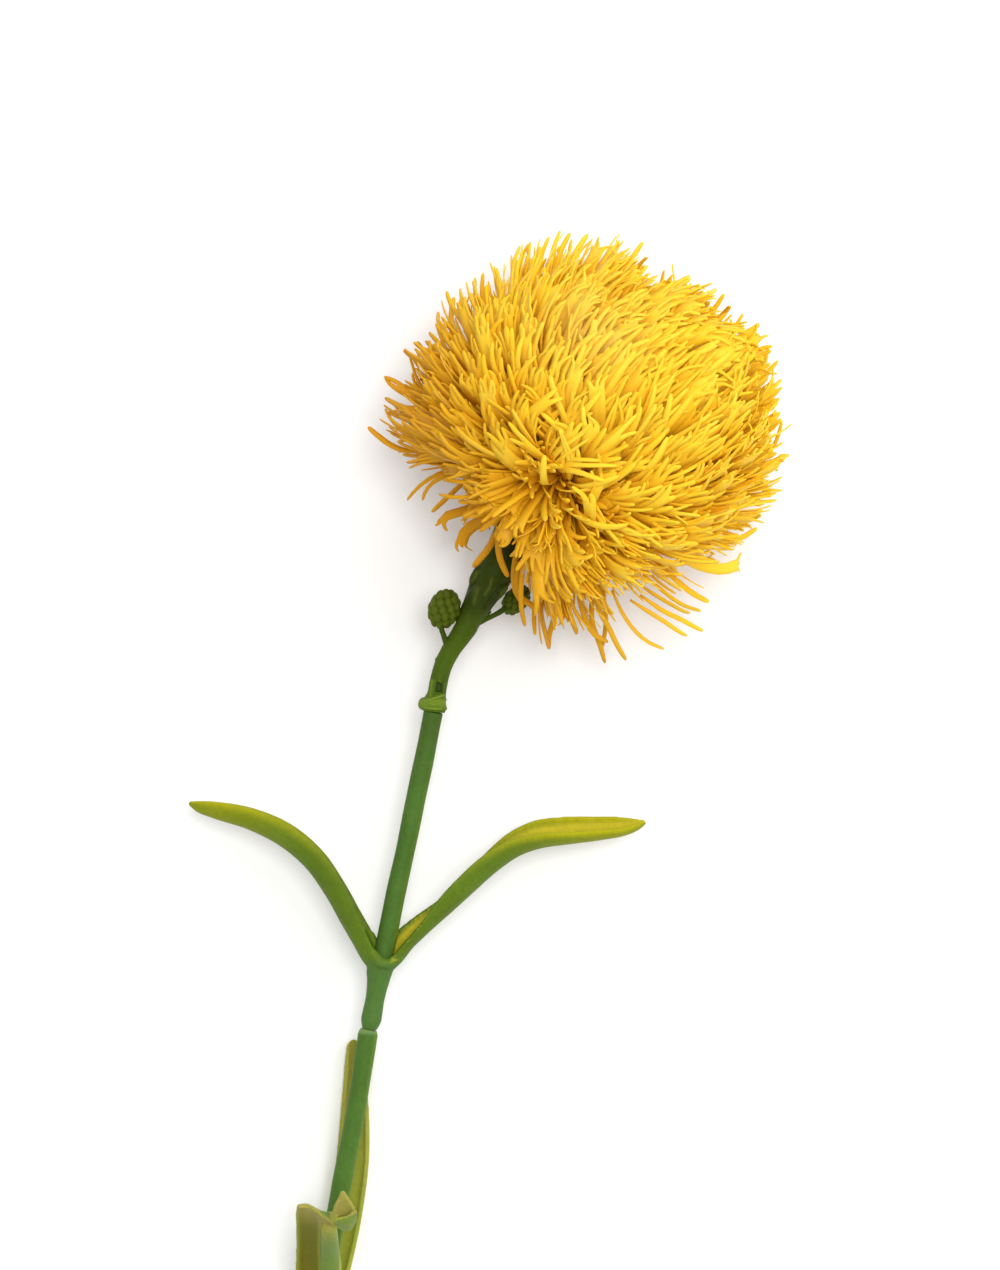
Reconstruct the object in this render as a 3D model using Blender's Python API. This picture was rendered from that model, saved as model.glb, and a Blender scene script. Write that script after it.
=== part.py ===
"""Cut pincushion protea lying on a table. Metres, +Z up, head toward +Y."""
import math
import random

import bmesh
import bpy
import numpy as np

MM = 0.001
GAP = 0.3
UP = np.array([0.0, 0.0, 1.0])

# The view from above that the sizes were taken from: a picture point and a
# height over the table give a place in millimetres.
VIEW_SCALE = 0.225
VIEW_HEIGHT = 1142.0
VIEW_RANGE = 1100.0
VIEW_U = 500.0
VIEW_V = 635.0

# Flower head
HEAD_U = 594.0
HEAD_V = 433.0
HEAD_Z = 37.5
HEAD_AXIS = (0.67, 0.44, 0.60)
HEAD_RADIUS = 44.0
CORE_RADIUS = 25.0
CORE_SHIFT = 3.0
PETALS = 330
PETAL_END = 163.0
PETAL_CROWD = 0.88
PETAL_WIDTH = 3.0
PETAL_THICK = 1.25
PETAL_HALF = (0.42, 0.46, 0.5)
PETAL_SINK = 2.5
PETAL_MAX = 36.0
FORK_AT = 0.64
FORK_SPREAD = 2.5
LEAN_KNOTS = ((0, 0), (25, 22), (60, 38), (110, 40), (145, 8), (165, -12))
CURL_KNOTS = ((0, 6), (30, 26), (110, 30), (135, 2), (150, -24), (165, -34))
# Bulges and hollows of the outline: bearing, half width, change of radius
LOBES = ((180, 9, 6.0), (165, 12, 1.5), (100, 12, 2.0), (70, 9, -5.0),
         (30, 9, 1.0), (232, 15, -8.0), (274, 24, 8.0), (305, 14, 2.0))
FLOOR_LOW = 0.45
FLOOR_HIGH = 1.2
LOW_TIPS = 5.0
PAD_RING = 13.0
PAD_COUNT = 6
ROOT_CLEAR = 6.0
VIEW_CLEAR = 4.6
CALYX_CLEAR = 2.7
BUD_CLEAR = 4.3
SOCKET_DEPTH = 9.0
SOCKET_MOUTH = 4.4
SOCKET_FLOOR = 3.2
PIN_HOLE = 7.0

# Stem parts
ROD_RADIUS = 2.25
PIN_RADIUS = 1.0
PIN_LENGTH = 3.4
BORE_RADIUS = 1.45
ROUND = 16
FEW = 10
LEAF_WALL = 1.5
LEAF_RINGS = 12
SCALES = 17
SCALE_FROM = 0.03
SCALE_SPREAD = 0.62
SCALE_TURN = 137.5
# Stations of one scale: along the spindle, half angle in radians, lift
SCALE_SHAPE = ((0.0, 0.30, -0.2), (0.10, 0.52, 0.35), (0.19, 0.36, 0.55))
SCALE_POINT = (0.26, 0.75)

FIBRE_YELLOW = (0.82, 0.50, 0.04, 1.0)
GREEN_DARK = (0.045, 0.062, 0.008, 1.0)
GREEN_NECK = (0.10, 0.16, 0.012, 1.0)
GREEN_ROD = (0.105, 0.205, 0.045, 1.0)
GREEN_LEAF = (0.20, 0.24, 0.02, 1.0)
GREEN_BUD = (0.09, 0.13, 0.012, 1.0)


def place(u, v, z):
    """Picture point and height to millimetres."""
    k = VIEW_SCALE * (VIEW_HEIGHT - z) / VIEW_RANGE
    return np.array([(u - VIEW_U) * k, (VIEW_V - v) * k, float(z)])


def unit(v):
    return np.asarray(v, float) / max(np.linalg.norm(v), 1e-9)


def table(knots, x):
    return float(np.interp(x, [k[0] for k in knots], [k[1] for k in knots]))


def with_radius(line, radii):
    """Stations of a line, each with its radius."""
    return [tuple(p) + (r,) for p, r in zip(line, radii)]


def curve(stations, count):
    """Smooth resampling of a short list of stations of any width."""
    pts = np.array(stations, float)
    span = np.linalg.norm(np.diff(pts[:, :3], axis=0), axis=1)
    at = np.concatenate([[0.0], np.cumsum(span)])
    slope = np.gradient(pts, at, axis=0)
    out = []
    for s in np.linspace(0.0, at[-1], count):
        i = min(int(np.searchsorted(at, s, side="right")) - 1, len(pts) - 2)
        h = at[i + 1] - at[i]
        t = (s - at[i]) / h
        a = (1 + 2 * t) * (1 - t) ** 2 * pts[i]
        b = t * (1 - t) ** 2 * h * slope[i]
        c = t * t * (3 - 2 * t) * pts[i + 1]
        d = t * t * (t - 1) * h * slope[i + 1]
        out.append(a + b + c + d)
    return np.array(out)


def tangents(points):
    grad = np.gradient(np.asarray(points, float), axis=0)
    return np.array([unit(g) for g in grad])


def clear_scene():
    for obj in list(bpy.data.objects):
        bpy.data.objects.remove(obj, do_unlink=True)
    for mesh in list(bpy.data.meshes):
        bpy.data.meshes.remove(mesh)


def to_object(name, verts, faces):
    """Closed triangulated object from millimetre points."""
    mesh = bpy.data.meshes.new(name)
    mesh.from_pydata([tuple(float(c) * MM for c in v) for v in verts], [], faces)
    bm = bmesh.new()
    bm.from_mesh(mesh)
    bmesh.ops.triangulate(bm, faces=bm.faces[:])
    bmesh.ops.recalc_face_normals(bm, faces=bm.faces[:])
    bm.to_mesh(mesh)
    bm.free()
    obj = bpy.data.objects.new(name, mesh)
    bpy.context.scene.collection.objects.link(obj)
    return obj


def combine(base, others, operation, solver="EXACT"):
    """Boolean of base with a list of objects, applied; the list is removed."""
    group = bpy.data.collections.new(base.name + "_tools")
    bpy.context.scene.collection.children.link(group)
    for other in others:
        bpy.context.scene.collection.objects.unlink(other)
        group.objects.link(other)
        other.hide_render = True
        other.display_type = "WIRE"
    mod = base.modifiers.new(operation.lower(), "BOOLEAN")
    mod.operation = operation
    mod.solver = solver
    mod.operand_type = "COLLECTION"
    mod.collection = group
    bpy.context.view_layer.update()
    graph = bpy.context.evaluated_depsgraph_get()
    result = bpy.data.meshes.new_from_object(base.evaluated_get(graph))
    base.modifiers.clear()
    base.data = result
    for other in list(group.objects):
        bpy.data.objects.remove(other, do_unlink=True)
    bpy.data.collections.remove(group)
    return base


def sweep(name, rings):
    """Skin through rings of equal point count, both ends capped."""
    n = len(rings[0])
    verts = [p for ring in rings for p in ring]
    faces = []
    for r in range(len(rings) - 1):
        for k in range(n):
            a = r * n + k
            b = r * n + (k + 1) % n
            faces.append((a, b, b + n, a + n))
    faces.append(tuple(reversed(range(n))))
    faces.append(tuple(range((len(rings) - 1) * n, len(rings) * n)))
    return to_object(name, verts, faces)


def circle(centre, axis, radius, sides=ROUND):
    axis = unit(axis)
    side = unit(np.cross(axis, (0.31, -0.27, 0.9)))
    other = np.cross(axis, side)
    ring = []
    for k in range(sides):
        a = 2 * math.pi * k / sides
        ring.append(centre + radius * (math.cos(a) * side + math.sin(a) * other))
    return ring


def rod(name, stations, count=0, sides=ROUND):
    """Round rod through (x, y, z, radius) stations."""
    pts = curve(stations, count) if count else np.array(stations, float)
    dirs = tangents(pts[:, :3])
    rings = [circle(p[:3], d, p[3], sides) for p, d in zip(pts, dirs)]
    return sweep(name, rings)


def straight(name, start, axis, steps, sides=ROUND):
    """Stepped rod along one axis; steps are (distance, radius)."""
    axis = unit(axis)
    rings = [circle(start + axis * h, axis, r, sides) for h, r in steps]
    return sweep(name, rings)


def shade(obj, degrees=38.0):
    """Smooth faces with the sharper edges kept crisp."""
    mesh = obj.data
    bm = bmesh.new()
    bm.from_mesh(mesh)
    limit = math.radians(degrees)
    for face in bm.faces:
        face.smooth = True
    for edge in bm.edges:
        edge.smooth = len(edge.link_faces) == 2 and edge.calc_face_angle(0.0) < limit
    bm.to_mesh(mesh)
    bm.free()


def paint(obj, slot, colour, roughness):
    mat = bpy.data.materials.get(slot)
    if mat is None:
        mat = bpy.data.materials.new(slot)
        mat.use_nodes = True
        shader = mat.node_tree.nodes["Principled BSDF"]
        shader.inputs["Base Color"].default_value = colour
        shader.inputs["Roughness"].default_value = roughness
        mat.diffuse_color = colour
    obj.data.materials.clear()
    obj.data.materials.append(mat)


HEAD = place(HEAD_U, HEAD_V, HEAD_Z)
AXIS = unit(HEAD_AXIS)
CORE = HEAD + AXIS * CORE_SHIFT
SIDE_A = unit(np.cross(AXIS, UP))
SIDE_B = np.cross(AXIS, SIDE_A)

# Neck, calyx and right bud centre lines, with radii, from the collar up
NECK_LINE = [place(433.3, 710, 20.0), place(434.6, 700, 20.1), place(435.8, 696, 20.2),
             place(438.5, 680, 20.5), place(443.5, 665, 20.8), place(451, 650, 21.1),
             place(461, 635, 21.5), place(465.6, 627, 21.75), place(465.9, 626.4, 21.76),
             place(470.2, 617.8, 22.0)]
NECK_RADII = (2.75, 2.8, 2.15, 2.05, 2.05, 2.1, 2.3, 2.45, 2.15, 2.1)
CALYX_LINE = [place(466.4, 625.4, 21.8), place(470.6, 616.8, 22.0), place(479, 602, 22.4),
              place(488, 585, 22.7), place(498, 566, 23.0), place(507, 545, 23.2),
              place(515, 520, 23.3), place(522, 500, 23.4), place(530, 484, 23.7)]
CALYX_RADII = (2.95, 3.0, 3.4, 4.0, 4.3, 4.1, 3.5, 3.0, 2.6)
BUD_LINE = [place(506, 612, 18.6), place(517, 600, 18.6), place(528, 587, 18.8)]

# Left and right bud: seat on the stalk's boss, then the stalk's own line
BUD_SEATS = (place(443.3, 641.2, 21.7), place(491.2, 616.4, 21.6))
BUD_STALKS = ([place(441.4, 635.2, 21.9), place(441.0, 629, 22.0), place(442.2, 620, 22.3)],
              [place(497, 614.8, 21.1), place(503, 612.6, 20.4), place(510, 607, 19.6)])
# Name, centre, tip, half length and half width of each bud
BUDS = (("bud_left", place(442.6, 608.8, 22.4), place(447.0, 588, 22.8), 4.3, 3.4),
        ("bud_right", place(517, 600, 18.6), place(528.5, 586, 18.8), 3.7, 2.4))

# Stem lines from the collar down to the cut end
ROD_TOP = [place(432.4, 713.4, 19.95), place(431.3, 721, 19.8), place(425, 755, 19.2),
           place(415.5, 800, 18.5), place(406.5, 845, 17.7), place(396.5, 890, 17.0),
           place(387.5, 935, 16.3), place(382.2, 961.5, 15.85)]
SLEEVE_TOP = [place(381.9, 963, 15.8), place(379.5, 975, 15.6), place(375.5, 995, 15.25),
              place(372.3, 1012, 15.0), place(370.9, 1020, 14.9), place(369.7, 1028, 14.75)]
ROD_MIDDLE = [place(369.1, 1032, 14.7), place(367.8, 1038, 14.6), place(354, 1122, 13.1),
              place(342, 1183, 12.0), place(328, 1260, 10.6), place(317.5, 1322, 9.5)]
SLEEVE_LOW = [place(317.2, 1324, 9.45), place(315, 1337, 9.2), place(311.5, 1357, 8.85),
              place(309, 1373, 8.6), place(307, 1385, 8.4), place(305.3, 1393, 8.3)]
ROD_LOW = [place(304.8, 1397, 8.2), place(303.8, 1403, 8.1), place(294, 1460, 7.1),
           place(278, 1555, 5.4), place(262, 1640, 3.9), place(243, 1742, 2.26)]
ROD_SHOULDER = 2.15
SLEEVE_RADII = (2.4, 2.15, 2.15, 2.35, 2.25, 1.75)
CUP_SHAPE = ((3.4, 3.7), (1.4, 3.4), (-1.2, 2.7))

# Leaves: picture point, height, width, depth and sometimes a roll in degrees
LEAF_LEFT = ((381, 972, 15.8, 5.0, 3.2), (371, 957, 15.8, 7.8, 4.2, 10),
             (362, 940, 16.0, 8.4, 4.5, 8), (350, 918, 16.3, 9.0, 4.8, 4),
             (335, 890, 16.4, 9.6, 5.1), (314, 860, 16.0, 9.8, 5.3),
             (286, 836, 15.0, 9.6, 5.4), (250, 819, 13.8, 8.8, 4.9),
             (214, 810, 12.6, 6.8, 3.8), (198, 806.2, 12.1, 4.4, 2.6),
             (190, 803.8, 11.9, 1.8, 1.2))
LEAF_RIGHT = ((381, 972, 15.8, 5.0, 3.2), (394, 957, 15.8, 7.2, 4.0, 20),
              (407, 941, 16.0, 7.4, 3.8, 22), (420, 929, 16.2, 7.8, 3.8, 20),
              (444, 907, 16.4, 8.8, 4.0, 14), (468, 884, 16.3, 9.4, 4.5, 8),
              (492, 862, 15.9, 9.8, 5.5), (516, 843.5, 15.4, 9.8, 5.9),
              (540, 834, 14.8, 9.8, 6.1), (564, 830, 14.0, 9.6, 5.7),
              (600, 828, 13.0, 8.4, 4.6), (626, 825, 12.4, 6.4, 3.7),
              (638, 823.5, 12.1, 4.2, 2.6), (645, 822.5, 12.0, 1.8, 1.2))
LEAF_BACK = ((315.5, 1334, 9.0, 5.0, 3.2), (318.5, 1318, 7.0, 7.2, 4.2),
             (326, 1295, 4.6, 7.8, 3.8), (337, 1255, 2.6, 7.8, 3.4),
             (347, 1205, 1.62, 7.8, 3.2), (353.5, 1150, 1.46, 7.6, 3.2),
             (355, 1110, 1.46, 6.6, 3.2), (355, 1075, 1.41, 5.2, 3.0),
             (354.5, 1052, 1.37, 4.0, 2.4), (353.5, 1043, 1.37, 2.8, 1.6),
             (353, 1039.5, 1.37, 1.2, 1.0))
LEAF_FRONT = ((315.5, 1334, 9.6, 5.0, 3.2), (316, 1318, 12.0, 8.0, 4.6),
              (316, 1292, 16.5, 9.6, 5.0), (317.5, 1264, 22.5, 10.6, 5.2),
              (319, 1244, 29.5, 10.9, 5.2), (319.5, 1232, 37.0, 11.0, 5.0),
              (321, 1223, 42.5, 10.7, 4.6), (330, 1215, 46.5, 8.0, 3.8),
              (338, 1207, 49.3, 5.6, 2.8), (342.5, 1198, 51.0, 2.6, 1.4))
CROSSWISE = unit(np.array([0.975, -0.21, 0.0]))
TOWARD_HEAD = np.array([0.0, 1.0, 0.0])


def pin_rings(end, way, length):
    """Last two rings of a solid that ends in a pin."""
    return [circle(end, way, PIN_RADIUS), circle(end + way * length, way, PIN_RADIUS)]


def boss_object(index):
    """Short boss that carries one bud's stalk."""
    seat = BUD_SEATS[index]
    way = unit(BUD_STALKS[index][0] - seat)
    return straight("boss", seat - way * 3.0, way, ((0.0, 1.1), (3.0, 0.75)), FEW)


def near_line(point, line):
    """Closest place on a polyline: the place, the gap, how far along."""
    best = None
    gap = 1e9
    along = 0.0
    for k, (a, b) in enumerate(zip(line[:-1], line[1:])):
        ab = b - a
        t = min(max(float(np.dot(point - a, ab) / np.dot(ab, ab)), 0.0), 1.0)
        q = a + ab * t
        d = float(np.linalg.norm(point - q))
        if d < gap:
            gap = d
            best = q
            along = k + t
    return best, gap, along


def parted(point, half_width):
    """Move a petal point clear of the calyx, of the view onto it and of a bud."""
    flat = [np.array([p[0], p[1], 0.0]) for p in CALYX_LINE[:6]]
    here = np.array([point[0], point[1], 0.0])
    near, gap, _ = near_line(here, flat)
    room = VIEW_CLEAR + half_width
    if gap < room:
        here = near + unit(here - near) * room
        point = np.array([here[0], here[1], point[2]])
    near, gap, along = near_line(point, CALYX_LINE)
    room = float(np.interp(along, range(len(CALYX_RADII)), CALYX_RADII))
    room += CALYX_CLEAR + half_width
    if gap < room:
        point = near + unit(point - near) * room
    near, gap, _ = near_line(point, BUD_LINE)
    room = BUD_CLEAR + half_width
    if gap < room:
        point = near + unit(point - near) * room
    return point


def envelope(direction):
    """Outer radius of the head toward a direction."""
    bearing = math.degrees(math.atan2(direction[1], direction[0])) % 360.0
    edge = math.hypot(direction[0], direction[1])
    change = 0.0
    for centre, width, gain in LOBES:
        off = (bearing - centre + 180.0) % 360.0 - 180.0
        change += gain * math.exp(-(off / width) ** 2)
    return HEAD_RADIUS + change * edge ** 4


def petal_line(root, normal, lean, curl, drift, reach):
    """Centre line of one strap, five places from root to tip."""
    pole = unit(AXIS - np.dot(AXIS, normal) * normal)
    across = np.cross(normal, pole)
    steps = 16
    low = 4.0
    high = PETAL_MAX
    for _ in range(14):
        length = 0.5 * (low + high)
        p = root.copy()
        line = [p.copy()]
        for k in range(steps):
            s = (k + 0.5) / steps
            a = math.radians(lean + curl * s)
            d = math.cos(a) * normal + math.sin(a) * pole
            d = unit(d + across * drift * s)
            p = p + d * (length / steps)
            line.append(p.copy())
        out = p - HEAD
        if np.linalg.norm(out) < reach * envelope(unit(out)):
            low = length
        else:
            high = length
    marks = (0.0, 0.36, FORK_AT, 0.84, 1.0)
    return [line[round(m * steps)] for m in marks], across


def petal_plan():
    """Root, line and size of every petal, from pole to neck."""
    rng = random.Random(11)
    golden = math.pi * (3 - math.sqrt(5))
    plan = []
    for i in range(PETALS):
        part = (i + 0.5) / PETALS
        share = part ** PETAL_CROWD
        theta = math.acos(1 - share * (1 - math.cos(math.radians(PETAL_END))))
        phi = i * golden + rng.uniform(-0.05, 0.05)
        ring = math.cos(phi) * SIDE_A + math.sin(phi) * SIDE_B
        normal = math.cos(theta) * AXIS + math.sin(theta) * ring
        deg = math.degrees(theta)
        lean = table(LEAN_KNOTS, deg) + rng.uniform(-5, 5)
        curl = table(CURL_KNOTS, deg) + rng.uniform(-8, 8)
        drift = rng.uniform(-0.16, 0.16)
        reach = rng.choice((1.04, 1.0, 0.97, 0.92, 0.86))
        twist = math.radians(rng.uniform(-24, 24))
        tines = (rng.uniform(0.86, 1.0), rng.uniform(0.8, 1.0))
        floor = rng.uniform(FLOOR_LOW, FLOOR_HIGH)
        root = CORE + normal * (CORE_RADIUS - PETAL_SINK)
        if near_line(root, CALYX_LINE)[1] < ROOT_CLEAR:
            continue
        line, across = petal_line(root, normal, lean, curl, drift, reach)
        plan.append({"line": line, "normal": normal, "across": across,
                     "twist": twist, "tines": tines, "floor": floor})
    return plan


def choose_pads(plan):
    """The petals whose flat tips carry the head on the table."""
    low = [p for p in plan if p["line"][3][2] < LOW_TIPS]
    centre = np.mean([p["line"][3][:2] for p in low], axis=0)
    for k in range(PAD_COUNT):
        a = 2 * math.pi * (k + 0.25) / PAD_COUNT
        spot = centre + PAD_RING * np.array([math.cos(a), math.sin(a)])
        free = [p for p in low if p["floor"] > 0.0]
        pick = min(free, key=lambda p: np.linalg.norm(p["line"][3][:2] - spot))
        pick["floor"] = 0.0


def petal_object(index, spec):
    """One forked strap: flat outer side, keel inside, two pointed tines."""
    line = [p.copy() for p in spec["line"]]
    floor = spec["floor"]
    pad = floor == 0.0
    resting = pad or min(p[2] for p in line) < floor + 0.3
    line = [line[0]] + [parted(p, PETAL_WIDTH / 2) for p in line[1:]]
    for k in range(1, 5):
        if pad and k > 1:
            line[k][2] = 0.0
        elif line[k][2] < floor:
            line[k][2] = floor
    dirs = tangents(line)
    verts = []
    for k in range(3):
        side = spec["across"]
        side = unit(side - np.dot(side, dirs[k]) * dirs[k])
        keel = unit(np.cross(side, dirs[k]))
        if np.dot(keel, spec["normal"]) > 0:
            keel = -keel
        turn = spec["twist"] * k / 2
        if resting:
            side = unit(np.cross(UP, dirs[k]))
            keel = unit(np.cross(dirs[k], side))
            turn = 0.0
            if line[k][2] <= floor + 1e-6:
                keel = UP
        wide = math.cos(turn) * side + math.sin(turn) * keel
        deep = math.cos(turn) * keel - math.sin(turn) * side
        w = PETAL_WIDTH * PETAL_HALF[k]
        verts += [line[k] + wide * w, line[k] - wide * w, line[k] + deep * PETAL_THICK]
    wide = unit(verts[6] - verts[7])
    middle = 0.5 * (verts[6] + verts[7])
    tips = []
    for reach, way in zip(spec["tines"], (1.0, -1.0)):
        tip = middle + (line[4] - middle) * reach + wide * way * FORK_SPREAD
        tip = parted(tip, 0.3)
        tip[2] = 0.0 if pad else max(tip[2], floor)
        tips.append(tip)
    verts += [middle] + tips
    faces = [(0, 2, 1)]
    for r in (0, 3):
        faces += [(r + 1, r + 2, r + 5), (r + 1, r + 5, r + 4),
                  (r + 2, r, r + 3), (r + 2, r + 3, r + 5)]
    faces += [(0, 1, 4), (0, 4, 3), (3, 4, 9), (4, 7, 9), (3, 9, 6)]
    faces += [(6, 9, 10), (9, 8, 10), (8, 6, 10)]
    faces += [(9, 7, 11), (7, 8, 11), (8, 9, 11)]
    return to_object("petal_%03d" % index, verts, faces)


def ball_object(name, centre, radius, level):
    """Faceted ball as an object."""
    mesh = bpy.data.meshes.new(name)
    bm = bmesh.new()
    bmesh.ops.create_icosphere(bm, subdivisions=level, radius=radius * MM)
    for v in bm.verts:
        v.co.x += centre[0] * MM
        v.co.y += centre[1] * MM
        v.co.z += centre[2] * MM
    bm.to_mesh(mesh)
    bm.free()
    obj = bpy.data.objects.new(name, mesh)
    bpy.context.scene.collection.objects.link(obj)
    return obj


def fill_pockets(obj):
    """Remove the inner shells that crossing petals close in, so it is solid."""
    bm = bmesh.new()
    bm.from_mesh(obj.data)
    bm.verts.ensure_lookup_table()
    left = set(bm.verts)
    shells = []
    while left:
        stack = [left.pop()]
        shell = []
        while stack:
            v = stack.pop()
            shell.append(v)
            for e in v.link_edges:
                w = e.other_vert(v)
                if w in left:
                    left.remove(w)
                    stack.append(w)
        shells.append(shell)
    shells.sort(key=len)
    for shell in shells[:-1]:
        bmesh.ops.delete(bm, geom=shell, context="VERTS")
    bm.to_mesh(obj.data)
    bm.free()


def build_bloom():
    core = ball_object("bloom", CORE, CORE_RADIUS, 3)
    plan = petal_plan()
    choose_pads(plan)
    petals = [petal_object(i, spec) for i, spec in enumerate(plan)]
    combine(core, petals, "UNION", "MANIFOLD")
    inward = unit(CALYX_LINE[-1] - CALYX_LINE[-2])
    floor = SOCKET_DEPTH + GAP
    steps = ((0.0, SOCKET_MOUTH), (floor, SOCKET_FLOOR), (floor, BORE_RADIUS),
             (SOCKET_DEPTH + PIN_HOLE, BORE_RADIUS))
    socket = straight("socket", CALYX_LINE[-1] - inward * SOCKET_DEPTH, inward, steps)
    combine(core, [socket], "DIFFERENCE", "MANIFOLD")
    fill_pockets(core)
    paint(core, "petal_yellow", FIBRE_YELLOW, 0.55)
    shade(core, 30.0)


def build_calyx():
    """Spindle of overlapping scales between the neck and the head."""
    rows = with_radius(CALYX_LINE, CALYX_RADII)
    fine = curve(rows, 25)
    dirs = tangents(fine[:, :3])
    rings = [circle(fine[k][:3], dirs[k], fine[k][3]) for k in range(0, 25, 3)]
    rings += pin_rings(fine[-1][:3], dirs[-1], 6.0)
    body = sweep("calyx", rings)

    def skin(at, turn, lift):
        k = min(at, 1.0) * 24
        i = min(int(k), 23)
        row = fine[i] + (fine[i + 1] - fine[i]) * (k - i)
        axis = dirs[min(i + 1, 24)]
        side = unit(np.cross(axis, UP))
        other = np.cross(side, axis)
        return row[:3] + (row[3] + lift) * (math.cos(turn) * side + math.sin(turn) * other)

    scales = []
    for i in range(SCALES):
        at = SCALE_FROM + SCALE_SPREAD * i / (SCALES - 1)
        turn = i * math.radians(SCALE_TURN)
        verts = []
        for step, half, lift in SCALE_SHAPE:
            verts.append(skin(at + step, turn - half, lift - 0.45))
            verts.append(skin(at + step, turn, lift + 0.30))
            verts.append(skin(at + step, turn + half, lift - 0.45))
            verts.append(skin(at + step, turn, lift - 1.6))
        verts.append(skin(at + SCALE_POINT[0], turn, SCALE_POINT[1]))
        faces = [(3, 2, 1, 0)]
        for r in (0, 4):
            for k in range(4):
                n = (k + 1) % 4
                faces.append((r + k, r + n, r + 4 + n, r + 4 + k))
        faces += [(8 + k, 8 + (k + 1) % 4, 12) for k in range(4)]
        scales.append(to_object("scale_%02d" % i, verts, faces))
    combine(body, scales + [boss_object(1)], "UNION", "MANIFOLD")
    bore = straight("bore", CALYX_LINE[0] - dirs[0] * 3.0, dirs[0],
                    ((0.0, 2.45), (5.4, 2.45), (5.4, BORE_RADIUS), (9.6, BORE_RADIUS)))
    combine(body, [bore], "DIFFERENCE", "MANIFOLD")
    fill_pockets(body)
    paint(body, "calyx_green", GREEN_DARK, 0.5)
    shade(body, 40.0)


def build_neck():
    """Curved neck with a flared collar, a small recess and a bud seat."""
    rows = with_radius(NECK_LINE, NECK_RADII)
    fine = np.concatenate([curve(rows[:8], 12), np.array(rows[8:])])
    dirs = tangents(fine[:, :3])
    rings = [circle(p[:3], d, p[3]) for p, d in zip(fine, dirs)]
    low = fine[0][:3]
    rings = [circle(low - dirs[0] * 0.4, dirs[0], 2.45)] + rings
    rings += pin_rings(fine[-1][:3], dirs[-1], 4.0)
    body = sweep("neck", rings)
    lobe_line = (place(423, 705.5, 20.3), place(424.8, 705, 20.4), place(433, 703, 20.4))
    lobe = rod("lobe", with_radius(lobe_line, (0.7, 1.2, 1.3)), 0, FEW)
    combine(body, [boss_object(0), lobe], "UNION", "MANIFOLD")
    cup = straight("cup", low - dirs[0] * 3.0, dirs[0],
                   ((0.0, BORE_RADIUS), (6.4, BORE_RADIUS)), 12)
    middle = place(440.3, 687, 22.9)
    lean = unit(NECK_LINE[4] - NECK_LINE[2])
    flank = unit(np.cross(lean, UP))
    corners = []
    for z in (-0.9, 0.9):
        for a, b in ((-1, -1), (1, -1), (1, 1), (-1, 1)):
            corners.append(middle + 0.75 * a * flank + 0.95 * b * lean + UP * z)
    window = sweep("window", [corners[:4], corners[4:]])
    combine(body, [cup, window], "DIFFERENCE", "MANIFOLD")
    paint(body, "neck_green", GREEN_NECK, 0.45)
    shade(body)


def build_bud(name, stalk, centre, tip, half_long, half_wide):
    """Knobbly bud on a short stalk."""
    axis = unit(tip - centre)
    side = unit(np.cross(axis, UP))
    other = np.cross(axis, side)
    bm = bmesh.new()
    bmesh.ops.create_icosphere(bm, subdivisions=2, radius=1.0)
    knobs = np.array([v.co[:] for v in bm.verts])
    bm.free()
    ball = ball_object(name, (0.0, 0.0, 0.0), 1.0 / MM, 3)
    for v in ball.data.vertices:
        d = unit(v.co[:])
        raised = 1.08 if (knobs @ d).max() > 0.999 else 0.93
        spot = half_wide * (d[0] * side + d[1] * other) + half_long * d[2] * axis
        spot = centre + raised * spot
        v.co = [float(c) * MM for c in spot]
    stem = rod("stalk", with_radius(stalk, (0.7, 0.6, 0.6, 0.8)), 7, 8)
    combine(ball, [stem], "UNION", "MANIFOLD")
    paint(ball, "bud_green", GREEN_BUD, 0.55)
    shade(ball, 50.0)


def build_rod(name, stations, top, bottom):
    """Rod with a pin or a bore at either end, as the joints need."""
    pts = np.array(stations, float)
    dirs = tangents(pts[:, :3])
    rings = [circle(p[:3], d, p[3]) for p, d in zip(pts, dirs)]
    first = pts[0][:3]
    if top == "pin":
        rings = pin_rings(first, dirs[0], -PIN_LENGTH)[::-1] + rings
    else:
        rings = [circle(first - dirs[0] * 0.55, dirs[0], 1.75)] + rings
    if bottom == "pin":
        rings += pin_rings(pts[-1][:3], dirs[-1], PIN_LENGTH)
    body = sweep(name, rings)
    if top == "bore":
        hole = straight("hole", first - dirs[0] * 3.0, dirs[0],
                        ((0.0, BORE_RADIUS), (7.0, BORE_RADIUS)), 12)
        combine(body, [hole], "DIFFERENCE", "MANIFOLD")
    paint(body, "stem_green", GREEN_ROD, 0.5)
    shade(body)


def leaf_object(name, stations, across, inner):
    """Thick gutter leaf; inner points to the hollow side."""
    rows = [tuple(place(*s[:3])) + s[3:5] + (s[5:] or (0.0,)) for s in stations]
    pts = curve(rows, LEAF_RINGS)
    dirs = tangents(pts[:, :3])
    rings = []
    for p, d in zip(pts, dirs):
        wide = unit(across - np.dot(across, d) * d)
        hollow = np.cross(wide, d)
        if np.dot(hollow, inner) < 0:
            hollow = -hollow
        roll = math.radians(p[5])
        wide, hollow = (math.cos(roll) * wide - math.sin(roll) * hollow,
                        math.cos(roll) * hollow + math.sin(roll) * wide)
        half = p[3] / 2
        deep = p[4]
        wall = min(LEAF_WALL, 0.42 * half, 0.5 * deep)
        ring = []
        for k in range(6):
            a = math.pi * k / 5
            level = deep * (0.5 - math.sin(a))
            ring.append(p[:3] - wide * half * math.cos(a) + hollow * level)
        for k in range(5, -1, -1):
            a = math.pi * k / 5
            level = deep * 0.5 - (deep - wall) * math.sin(a)
            ring.append(p[:3] - wide * (half - wall) * math.cos(a) + hollow * level)
        rings.append(ring)
    return sweep(name, rings)


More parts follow.
